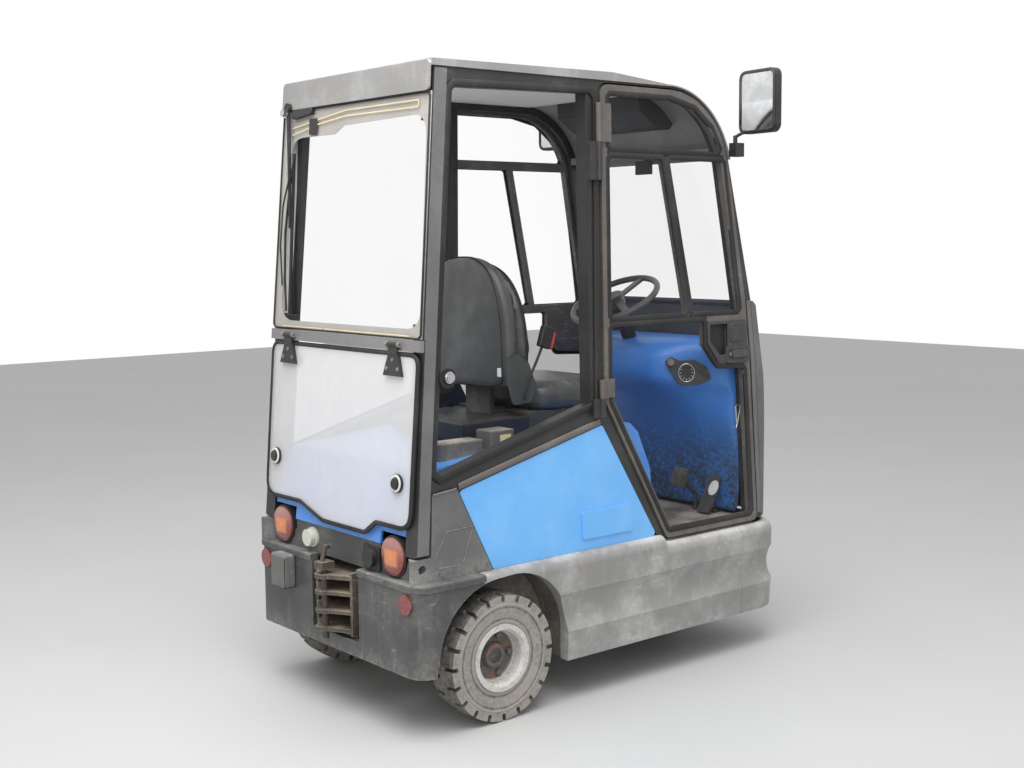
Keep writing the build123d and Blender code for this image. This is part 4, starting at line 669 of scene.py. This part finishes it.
# Rear window: seal, heating lines and the fascia's rubber line
rearWindow = dict(
    frame=[(-447, 1272), (447, 1272), (434, 2030), (-434, 2030)],
    fascia=[(-430, 2034), (430, 2034)],
    heatTop=[
        (378, 2008), (-33, 2008), (-109, 2000), (-400, 1966), (-398, 1941), (-210, 1973), (-31, 1989),
        (379, 1987)],
    heatFoot={"left": [(-387, 1279), (-120, 1279)], "right": [(-108, 1279), (388, 1278)]},
    sensor=[(-260, 1942), (-208, 1938), (-208, 1994), (-260, 1996)],
)
wiper = dict(
    blade=[(-338, 1866), (-360, 1758), (-376, 1605), (-366, 1450), (-347, 1332)],
    bow=[(-350, 1800), (-386, 1700), (-392, 1560), (-368, 1420)],
    cap=[(-396, 2022)],
    motor=[(-360, 2000), (-236, 2012), (-236, 2030), (-360, 2030)],
)
trim("rearWindowSeal", "rear", rearWindow["frame"], 6, 5, -1.5, "rubberBlack", corner=12)
frameEdge = [(-449, 1270), (449, 1270), (435.5, 2033), (-435.5, 2033)]
hole = [(-409, 1299), (436, 1301), (416, 1967), (-50, 1960), (-108, 1934), (-383, 1936)]
hole = rounded(hole, [75, 70, 75, 30, 30, 75])
border = plate(
    "rearWindowBorder", "rear", frameEdge, [hole], 2.8, -7.6, "surroundGrey", "body", "frame_paint")
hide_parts("rear_surround")
strip("fasciaRubber", "rear", rearWindow["fascia"], 9, 6, 2.5, "rubberBlack")
trim("heatingLineTop", "rear", rearWindow["heatTop"], 4.5, 0.8, 0.1, "creamLine", corner=6, edge=0.2)
for label, ends in rearWindow["heatFoot"].items():
    strip(f"heatingLineFoot_{label}", "rear", ends, 4.5, 0.8, 0.1, "creamLine", edge=0.2)
plate("rearSensor", "rear", rounded(rearWindow["sensor"], 4), [], 1.0, 0.8, "blackPlastic")
trim("wiperBlade", "rear", wiper["blade"], 6, 7, 9, "rubberBlack", corner=90, edge=1, closed=False)
trim("wiperBow", "rear", wiper["bow"], 7, 4, 17, "rubberBlack", corner=60, edge=1, closed=False)
fasteners("wiperCap", "rear", wiper["cap"], 13, 14, 18, "chrome", sides=20, washer=17)
plate("wiperMotor", "rear", rounded(wiper["motor"], 8), [], 10, 5, "blackPlastic", bevel=1.5)

# Hatch: tinted pane, rubber round it and bright lock rings
hatch = dict(
    edge=[
        (-446, 672), (-216, 674), (-66, 628), (194, 628), (255, 672), (446, 672), (446, 1224), (-446, 1224)
    ],
    radii=[60, 80, 90, 40, 40, 60, 40, 40], locks=[(-380, 817), (367, 815)])
pane = plate(
    "hatchWindow", "rear", rounded(hatch["edge"], hatch["radii"]), [], 7.6, -4, "hatchPane", "hatch",
    "tinted_glass")
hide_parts("hatch_pane")
inner = [(x * 0.986, 951 + (z - 951) * 0.986) for x, z in hatch["edge"]]
trim(
    "hatchRubber", "rear", rounded(inner, hatch["radii"]), 15, 15, -4, "rubberBlack", "hatch", corner=1,
    edge=4)
for step, middle in enumerate(hatch["locks"]):
    trim(f"lockRing_{step}", "rear", circle(24, 24, 16, middle), 9, 4, 9.5, "paleTag", "hatch", corner=4)
print("cab trim made")

# Doors: rubber round the panes and on the bars, lock console with its recess and key, handle, inner latch
door = dict(
    upper=[(-10, 2062), (300, 2062), (425, 2036), (522, 1966), (572, 1872), (-10, 1872)],
    rear=[(-10, 1854), (262, 1854), (387, 1292), (-10, 1292)],
    front=[(281, 1854), (582, 1854), (668, 1292), (404, 1292)],
    lower=[
        (-10, 1274), (477, 1274), (477, 1172), (541, 1096), (694, 1088), (729, 517), (270, 517), (-10, 1009)
    ],
    console=[(484, 1262), (484, 1180), (541, 1112), (696, 1100), (702, 1262)],
    recess=[(494, 1252), (494, 1190), (548, 1136), (592, 1136), (592, 1252)],
    cup=[(604, 1250), (604, 1184), (664, 1184), (664, 1250)],
    bars=dict(
        upper=[(-12, 1863), (575, 1863)], middle=[(272, 1862), (396, 1284)],
        lower=[(-12, 1283), (480, 1283)]),
    lip=[(612, 1244), (612, 1190), (656, 1190), (656, 1244)],
    latch=[(668, 938), (694, 938), (676, 872), (668, 850)],
    plate=[(590, 1156), (590, 1118), (700, 1118), (702, 1156)],
    key=[(648, 1137)],
)
for side in ("right", "left"):
    rides = f"door_{side}"
    for label in ("upper", "rear", "front", "lower"):
        trim(
            f"paneRubber_{label}_{side}", side, door[label], 21, 12, -4.6, "rubberBlack", rides, corner=14,
            edge=2)
    for label, line in door["bars"].items():
        strip(f"doorBar_{label}_{side}", side, line, 16, 3, -0.6, "rubberBlack", rides)
    plate(
        f"lockConsole_{side}", side, rounded(door["console"], 8), [rounded(door["recess"], 6)], 3.0, 1.9,
        "consoleGrey", rides, bevel=0.8)
    plate(f"lockRecess_{side}", side, rounded(door["recess"], 4), [], 1.0, -13.2, "rubberBlack", rides)
    plate(f"handleCup_{side}", side, rounded(door["cup"], 16), [], 5.0, 4.2, "consoleGrey", rides, bevel=2.2)
    trim(f"handleLip_{side}", side, rounded(door["lip"], 14), 4, 4, 7.5, "blackPlastic", rides, corner=1)
    strip(f"innerLatchBar_{side}", side, [(663, 936), (668, 872)], 9, 8, -24, "chrome", rides, edge=2)
    trim(
        f"innerLatchHook_{side}", side, door["latch"], 5, 5, -25, "chrome", rides, corner=8, edge=1.5,
        closed=False)
    plate(
        f"lockPlate_{side}", side, rounded(door["plate"], 5), [], 2.5, 6.2, "blackPlastic", rides, bevel=0.8
    )
    fasteners(f"lockKey_{side}", side, door["key"], 12, 5, 7.4, "blackPlastic", rides, sides=20, washer=16)
    fasteners(f"lockBarrel_{side}", side, door["key"], 5, 6.2, 7.6, "boltSteel", rides, sides=12, washer=7)
print("doors trimmed")

# Cab sides: corner posts and their linings, sills, front posts, the corner covers' seams, a paler strip on
# each cover's top edge as painted highlight, buffer caps
cabSide = dict(
    post=[
        (-731.5, 2096), (-799, 1266), (-794.5, 1264), (-849, 594), (-804, 594), (-790, 800), (-688, 2066),
        (-686, 2096)],
    sill=[(-676, 794), (-60, 944)],
    frontPost=[(717, 1333), (743, 1104), (764, 744), (776, 515)],
    lining=[(-797, 1316), (-749, 1316), (-699, 1936), (-746, 1936)],
    linesA=[(-627, 662), (-732, 658), (-790, 566)],
    linesB=[(-627, 662), (-674, 543), (-797, 546)],
    coverTopHighlight=[(-782, 779), (-690, 788)],
)
for side in ("right", "left"):
    plate(f"cornerPost_{side}", side, cabSide["post"], [], 0.8, 0.5, "frameGrey")
    strip(f"sillStrip_{side}", side, cabSide["sill"], 21, 5, -5.5, "sillBrown", edge=1.5)
    trim(
        f"frontPost_{side}", side, cabSide["frontPost"], 22, 5, -5.5, "frameGrey", corner=40, edge=1.5,
        closed=False)
    plate(f"postLining_{side}", side, cabSide["lining"], [], 1.0, -23.8, "headliner")
    for label in ("linesA", "linesB"):
        trim(
            f"cover_{label}_{side}", side, cabSide[label], 2.2, 1.2, 1.6, "boxGrey", corner=4, edge=0.5,
            closed=False)
    # A proud strip in a paler, dusty grey on the cover's top edge: painted highlight
    strip(f"coverRimHighlight_{side}", side, cabSide["coverTopHighlight"], 8, 3, 0.6, "boxGrey")
    fasteners(f"bufferCap_{side}", side, [(-715, 1144)], 15, 8, 14, "chrome", sides=24, washer=19)
print("cab sides trimmed")

# Screws of the corner covers, locks and hatch hinges
for side in ("right", "left"):
    fasteners(f"coverScrews_{side}", side, [(-753, 526), (-609, 523)], 6, 1.5, 1.9, "boltSteel", washer=12)
for side in ("right", "left"):
    fasteners(
        f"lockScrews_{side}", side, [(602, 1137), (690, 1137)], 4.5, 2, 8, "boltSteel", f"door_{side}",
        washer=7)
for step in (-1, 1):
    fasteners(
        f"hingeScrews_{step}", "rear",
        [(step * 320 - 30, 1172), (step * 320 + 30, 1172), (step * 320, 1200)], 5, 3, 11.5, "boltSteel",
        "hatch", washer=7)
print("fasteners made")

# Mirror faces and rims, turned a little towards the cab
mirrorFace = dict(
    x=650, y=552, z=2060, width=176, height=214, radius=26, thick=2, back=14.5, lift=1.2, toe=0.12)
for sign, label in ((-1, "right"), (1, "left")):
    halfWide, halfHigh = mirrorFace["width"] / 2, mirrorFace["height"] / 2
    corners = [(halfWide, halfHigh), (-halfWide, halfHigh), (-halfWide, -halfHigh), (halfWide, -halfHigh)]
    face = rounded(corners, mirrorFace["radius"])
    mesh = bpy.data.meshes.new(f"mirrorFace_{label}")
    work = bmesh.new()
    front = [work.verts.new((u / 1000, v / 1000, 0)) for u, v in face]
    sheet = work.faces.new(front)
    bmesh.ops.solidify(work, geom=[sheet], thickness=mirrorFace["thick"] / 1000)
    work.to_mesh(mesh)
    work.free()
    outward = Vector((-1, -mirrorFace["toe"] * sign, 0)).normalized()
    rightward = outward.cross(Vector((0, 0, 1))).normalized() * -1
    middle = (mirrorFace["x"] - mirrorFace["back"], sign * mirrorFace["y"], mirrorFace["z"])
    place = Vector([size / 1000 for size in middle]) + outward * (mirrorFace["lift"] / 1000)
    matrix = axesMatrix(rightward, (0, 0, 1), outward, place)
    addPiece(f"mirrorFace_{label}", mesh, "mirrorGlass", "body", "lamp_glass", matrix)
    sizes = {"Corner": 1, "Width": 11, "Height": 10, "Edge Radius": 3}
    rim = grow(trimAlongEdge, outline(face), "blackPlastic", sizes)
    addPiece(f"mirrorRim_{label}", rim, "blackPlastic", matrix=matrix)

# Headlamp bezels and the cowl's screws
cowl = dict(lamp=(300, 142), bezel=73, screws=[(-215, 40), (215, 40), (-285, 700), (285, 700)])
for label, across in {"left": cowl["lamp"][0], "right": -cowl["lamp"][0]}.items():
    bezel = circle(cowl["bezel"], cowl["bezel"], 32, (across, cowl["lamp"][1]))
    trim(f"lampBezel_{label}", "front", bezel, 13, 9, 1.5, "chrome", corner=1, edge=3)
fasteners("cowlScrews", "front", cowl["screws"], 7, 2.5, 0.5, "boltSteel", washer=11)

# Headliner under the roof
headliner = dict(rear=-688, front=345, half=378, top=2099, thick=5)
mesh = bpy.data.meshes.new("headliner")
work = bmesh.new()
bmesh.ops.create_grid(work, x_segments=12, y_segments=8, size=1)
middle, half = (headliner["rear"] + headliner["front"]) / 2, (headliner["front"] - headliner["rear"]) / 2
for vertex in work.verts:
    x, y = middle + vertex.co.x * half, vertex.co.y * headliner["half"]
    vertex.co = (x / 1000, y / 1000, headliner["top"] / 1000)
bmesh.ops.solidify(work, geom=list(work.faces), thickness=headliner["thick"] / 1000)
work.to_mesh(mesh)
work.free()
addPiece("headliner", mesh, "headliner")

# Seat: padded backrest and cushion, each lofted, remeshed and puffed up by a short cloth run
seat = dict(voxel=0.006, pressure=4.0, cap=0.010, frames=20)


def inflate(mesh, name):
    piece = newObject(name, mesh)
    remesh = piece.modifiers.new("remesh", "REMESH")
    remesh.mode, remesh.voxel_size = "VOXEL", seat["voxel"]
    bpy.context.view_layer.update()
    solid = evaluated(piece)
    piece.modifiers.clear()
    piece.data = solid
    rest = [vertex.co.copy() for vertex in solid.vertices]
    cloth = piece.modifiers.new("cloth", "CLOTH")
    cloth.settings.use_pressure = True
    cloth.settings.uniform_pressure_force = seat["pressure"]
    cloth.settings.effector_weights.gravity = 0
    cloth.point_cache.frame_start, cloth.point_cache.frame_end = 1, seat["frames"]
    for step in range(1, seat["frames"] + 1):
        scene.frame_set(step)
    puffed = evaluated(piece)
    piece.modifiers.clear()
    for vertex, start in zip(puffed.vertices, rest):
        move = vertex.co - start
        if move.length > seat["cap"]:
            vertex.co = start + move.normalized() * seat["cap"]
    piece.data = puffed
    scene.frame_set(1)
    return piece


def smoothOver(piece, levels):
    for face in piece.data.polygons:
        face.use_smooth = True
    smooth = piece.modifiers.new("smooth", "SUBSURF")
    smooth.levels = smooth.render_levels = levels


def loft(name, rings):
    mesh = bpy.data.meshes.new(name)
    count = len(rings[0])
    faces = []
    for start in range(0, (len(rings) - 1) * count, count):
        for i in range(count):
            ahead = (i + 1) % count
            faces.append([start + i, start + ahead, start + count + ahead, start + count + i])
    faces += [list(range(count)), [(len(rings) - 1) * count + i for i in range(count)]]
    mesh.from_pydata([tuple(v / 1000 for v in point) for ring in rings for point in ring], [], faces)
    work = bmesh.new()
    work.from_mesh(mesh)
    bmesh.ops.recalc_face_normals(work, faces=work.faces)
    work.to_mesh(mesh)
    work.free()
    return mesh


def softRing(middle, half, deep, power, steer, count=32):
    ring = []
    for step in range(count):
        turn = step / count * math.tau
        along, aside = (math.copysign(abs(v) ** (2 / power), v) for v in (math.cos(turn), math.sin(turn)))
        ring.append(steer(middle, half * along, deep * aside))
    return ring


def padPiece(name, mesh, node):
    piece = inflate(mesh, name)
    piece.data.name = name
    piece.data.materials.clear()
    piece.data.materials.append(finishes["seatVinyl"])
    smoothOver(piece, 1)
    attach(piece, "body")
    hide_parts(node)
    return piece


backLean = math.radians(6.9)
backProfile = [
    (8, 150, 26), (20, 184, 36), (60, 206, 41), (130, 219, 43), (210, 222, 42), (280, 212, 40),
    (335, 190, 37), (375, 160, 33), (402, 124, 28), (420, 82, 21), (428, 46, 12)]


def backPoint(height, across, deep):
    along = Vector((-math.sin(backLean), 0, math.cos(backLean)))
    out = Vector((-math.cos(backLean), 0, -math.sin(backLean)))
    place = Vector((-120, 0, 1066)) + along * height + out * (46 + deep)
    return (place.x, across, place.z)


backRings = [softRing(height, half, deep, 2.6, backPoint) for height, half, deep in backProfile]
padPiece("seatBackrest", loft("seatBackrest", backRings), "seat_back")
cushionProfile = [
    (963, 168, 205), (972, 186, 222), (990, 193, 229), (1020, 195, 231), (1040, 192, 226), (1051, 180, 212),
    (1056, 150, 178), (1057, 90, 110)]
cushionRings = [
    softRing(height, deep, half, 5, lambda m, a, d: (55 + a, d, m)) for height, deep, half in cushionProfile
]
padPiece("seatPad", loft("seatPad", cushionRings), "seat_cushion")


def tube(name, points, radius, finish, body="body", slot=None, closed=False):
    path = bpy.data.curves.new(name, "CURVE")
    path.dimensions = "3D"
    path.bevel_depth, path.bevel_resolution, path.use_fill_caps = radius / 1000, 3, True
    spline = path.splines.new("NURBS")
    spline.points.add(len(points) - 1)
    for point, place in zip(spline.points, points):
        point.co = (*(v / 1000 for v in place), 1)
    spline.order_u = 3
    spline.use_endpoint_u, spline.use_cyclic_u = not closed, closed
    spline.resolution_u = 6
    mesh = meshOf(path)
    for face in mesh.polygons:
        face.use_smooth = True
    return addPiece(name, mesh, finish, body, slot)


piping = [backPoint(height, half + 3, 6) for height, half, deep in backProfile]
piping += [backPoint(height, -half - 3, 6) for height, half, deep in reversed(backProfile)]
tube("seatPiping", piping, 4, "rubberBlack", "body", "seat_cover", closed=True)
shellProfile = [
    (1046, 168, 24, -243), (1056, 196, 34, -244), (1100, 212, 40, -247), (1180, 220, 44, -250),
    (1270, 222, 46, -254), (1350, 214, 45, -260), (1410, 196, 42, -266), (1455, 168, 37, -272),
    (1485, 130, 30, -276), (1503, 84, 22, -279), (1509, 44, 12, -280)]
shellRings = [
    softRing(height, half, deep, 3, lambda m, a, d, x=x: (x + d, a, m))
    for height, half, deep, x in shellProfile]
shell = addPiece("seatShell", loft("seatShell", shellRings), "seatVinyl", "body", "seat_cover")
smoothOver(shell, 1)
shellSeam = []
for sign, rows in ((1, shellProfile[1:]), (-1, reversed(shellProfile[1:]))):
    shellSeam += [(x - deep * 0.9, half * 0.94 * sign, height) for height, half, deep, x in rows]
tube("shellSeam", shellSeam, 3, "rubberBlack", "body", "seat_cover", closed=True)
seatHinge = dict(
    edge=[(-285, 1080), (-277, 1154), (-240, 1178), (-184, 1141), (-150, 1062), (-175, 1000), (-258, 996)],
    radius=22, across=226, thick=6,
)
for sign, label in ((-1, "right"), (1, "left")):
    cheek = bpy.data.meshes.new(f"seatHinge_{label}")
    work = bmesh.new()
    edge = rounded(seatHinge["edge"], seatHinge["radius"])
    across = sign * seatHinge["across"] / 1000
    sheet = work.faces.new([work.verts.new((x / 1000, across, z / 1000)) for x, z in edge])
    bmesh.ops.solidify(work, geom=[sheet], thickness=seatHinge["thick"] / 1000)
    sharp = [line for line in work.edges if line.calc_face_angle(0) > 1]
    bmesh.ops.bevel(work, geom=sharp, offset=0.0015, segments=2, affect="EDGES")
    work.to_mesh(cheek)
    work.free()
    addPiece(f"seatHinge_{label}", cheek, "platePaint", "body", "dark_steel")


def block(name, low, high, bevel, finish, body="body", slot=None, matrix=None):
    mesh = bpy.data.meshes.new(name)
    work = bmesh.new()
    bmesh.ops.create_cube(work, size=1)
    for vertex in work.verts:
        vertex.co = Vector(
            tuple((low[i] + high[i]) / 2000 + vertex.co[i] * (high[i] - low[i]) / 1000 for i in range(3)))
    bmesh.ops.bevel(work, geom=list(work.edges), offset=bevel / 1000, segments=3, affect="EDGES", profile=0.6)
    work.to_mesh(mesh)
    work.free()
    return addPiece(name, mesh, finish, body, slot, matrix)


tube(
    "beltStalk", [(-219, -240, 1014), (-196, -243, 1090), (-160, -243, 1150), (-132, -240, 1200)], 5,
    "rubberBlack")
tilted = Matrix.Translation((-0.118, -0.24, 1.227)) @ Matrix.Rotation(math.radians(18), 4, "Y")
block("beltBuckle", (-26, -12, -38), (26, 12, 38), 6, "blackPlastic", matrix=tilted)
block("buckleLatch", (28, -9, -34), (37, 9, 26), 3, "buckleRed", "body", "red_lens", tilted)
block("seatTray", (-470, -205, 885), (-160, 205, 950), 10, "blackPlastic", "body", "dark_steel")
block("seatTag", (-292, -198, 1096), (-285, -182, 1126), 1, "paleTag")
block("seatPlinth", (-448, -180, 862), (-182, 180, 890), 4, "blackPlastic", "body", "dark_steel")
block("sideBox", (-452, -345, 864), (-352, -262, 936), 5, "deckSteel", "body", "black_plastic")
block("sideBoxTag", (-414, -347, 888), (-368, -344.5, 920), 0.8, "creamLine")
block("sideShelf", (-655, -335, 850), (-478, -255, 912), 7, "deckSteel", "body", "black_plastic")
print("seat pieces made")

# Dash: one moulded blue console with the gauge cluster on its right face. Each station across says how
# much of its depth it keeps and how far it falls away
console = dict(
    stations=[
        (-404, 0.3, 62), (-350, 0.42, 40), (-300, 0.62, 22), (-250, 0.84, 9), (-200, 0.96, 2),
        (-150, 1.0, 0), (150, 1.0, 0), (200, 0.96, 2), (250, 0.84, 9), (300, 0.62, 22), (350, 0.42, 40),
        (404, 0.3, 62),
    ],
    front=755, foot=900, fallFrom=1000, fallOver=195, reach=150, share=0.45, frontShare=0.2,
)
nose = [
    (755, 1178), (730, 1190), (600, 1195), (540, 1188), (497, 1172), (466, 1150), (449, 1125), (441, 1090),
    (441, 1050), (456, 1022), (490, 1000), (560, 960), (640, 880), (700, 760), (726, 640), (738, 496),
    (755, 496)]
rings = []
for across, keep, drop in console["stations"]:
    ring = []
    for x, z in nose:
        depth = console["front"] - x
        kept = depth * (keep if z > console["foot"] else 0.5 + keep / 2)
        low = max(0.0, (z - console["fallFrom"]) / console["fallOver"])
        fall = drop * console["frontShare"]
        if depth:
            fall = drop * low * depth / console["reach"] * console["share"]
        ring.append((console["front"] - kept, across, z - fall))
    rings.append(ring)
moulded = addPiece("dashConsole", loft("dashConsole", rings), "dashBlue", "body", "blue_paint")
smoothOver(moulded, 2)
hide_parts("dash")
leaf = rounded(
    [(-84, 44), (-60, 62), (-30, 46), (26, 50), (72, 26), (92, -22), (44, -42), (-30, -44), (-52, -4)], 14)
housing = plate("clusterHousing", "cluster", leaf, [], 9, 3, "consoleGrey", bevel=2)
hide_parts("instrument_panel")
dial = circle(30, 34, 28, (-2, 3))
plate("gaugeFace", "cluster", dial, [], 2, 9.5, "blackPlastic")
trim("gaugeRing", "cluster", dial, 4, 4, 10.5, "chrome", corner=1, edge=1.2)
for step in range(9):
    turn = math.radians(-210 + step * 30)
    ends = [(-2 + wide * math.cos(turn), 3 + high * math.sin(turn)) for wide, high in ((20, 22), (25, 28))]
    strip(f"gaugeMark_{step}", "cluster", ends, 2, 0.8, 10.6, "paleTag", edge=0.2)
fasteners("clusterKnob", "cluster", [(-62, 44)], 11, 16, 9, "boltSteel", sides=18, washer=14)
fasteners(
    "clusterSwitches", "cluster", [(48, 6), (62, -2), (76, -10)], 6, 5, 8, "blackPlastic", sides=12,
    washer=8)
plate("pedalPad", "pedal", circle(21, 30, 24), [], 4, 3, "paleTag", "body", "worn_steel", bevel=1)
block("controlCover", (-916, 233, 366), (-868, 329, 485), 12, "boxGrey", "body", "black_plastic")
print("dash, cluster and small pieces made")


# Stage, light and camera
studio = dict(wallStrength=1.0, fill=0.6, keyPower=260, sidePower=40)
floorFinish = Finish("studioFloor")
floorCloud = floorFinish.noise(0.8, 4, 0.6)
floorFinish.set(color=floorFinish.mix(floorCloud, shade(0.5, 0.5, 0.5), shade(0.56, 0.56, 0.555)), rough=0.6)
mesh = bpy.data.meshes.new("studioFloor")
mesh.from_pydata([(-14, -14, 0), (14, -14, 0), (14, 14, 0), (-14, 14, 0)], [], [(0, 1, 2, 3)])
floor = newObject("studioFloor", mesh)
mesh.materials.append(floorFinish.material)

# The camera, mirrors and glass see a bright wall, and everything else a softer light
world = bpy.data.worlds.new("studioWorld")
scene.world = world
world.use_nodes = True
tree = world.node_tree
tree.nodes.clear()
seen = treeNode(tree, "ShaderNodeLightPath").outputs
larger = {"operation": "MAXIMUM"}
direct = treeNode(tree, "ShaderNodeMath", larger, {0: seen["Is Camera Ray"], 1: seen["Is Glossy Ray"]})
bright = treeNode(tree, "ShaderNodeMath", larger, {0: direct.outputs[0], 1: seen["Is Transmission Ray"]})
white = (1, 1, 1, 1)
backdrop = treeNode(tree, "ShaderNodeBackground", None, {0: white, 1: studio["wallStrength"]})
ambient = treeNode(tree, "ShaderNodeBackground", None, {0: white, 1: studio["fill"]})
both = {0: bright.outputs[0], 1: ambient.outputs[0], 2: backdrop.outputs[0]}
light = treeNode(tree, "ShaderNodeMixShader", None, both)
treeNode(tree, "ShaderNodeOutputWorld", None, {0: light.outputs[0]})


def areaLamp(name, place, target, size, power):
    lamp = bpy.data.lights.new(name, "AREA")
    lamp.shape, lamp.size, lamp.energy = "SQUARE", size, power
    holder = newObject(name, lamp)
    holder.location = place
    holder.rotation_euler = (Vector(target) - Vector(place)).to_track_quat("-Z", "Y").to_euler()


areaLamp("keyLamp", (-1.5, -1.0, 4.6), (0, 0, 0.8), 4.0, studio["keyPower"])
areaLamp("sideLamp", (-3.5, -4.5, 3.2), (0, 0, 1.0), 2.5, studio["sidePower"])

view = dict(place=(-3.262, -3.849, 1.574), yaw=50.369, pitch=6.097, roll=-0.542, lens=47.96)
yaw, pitch, roll = (math.radians(view[key]) for key in ("yaw", "pitch", "roll"))
forward = Vector((math.cos(yaw) * math.cos(pitch), math.sin(yaw) * math.cos(pitch), -math.sin(pitch)))
level = Vector((math.sin(yaw), -math.cos(yaw), 0))
upright = level.cross(forward)
across = level * math.cos(roll) + upright * math.sin(roll)
above = upright * math.cos(roll) - level * math.sin(roll)
lens = bpy.data.cameras.new("camera")
lens.lens, lens.sensor_width = view["lens"], 36
camera = newObject("camera", lens)
camera.matrix_world = axesMatrix(across, above, -forward, view["place"])
scene.camera = camera
scene.view_settings.view_transform = "Standard"
print("stage set")
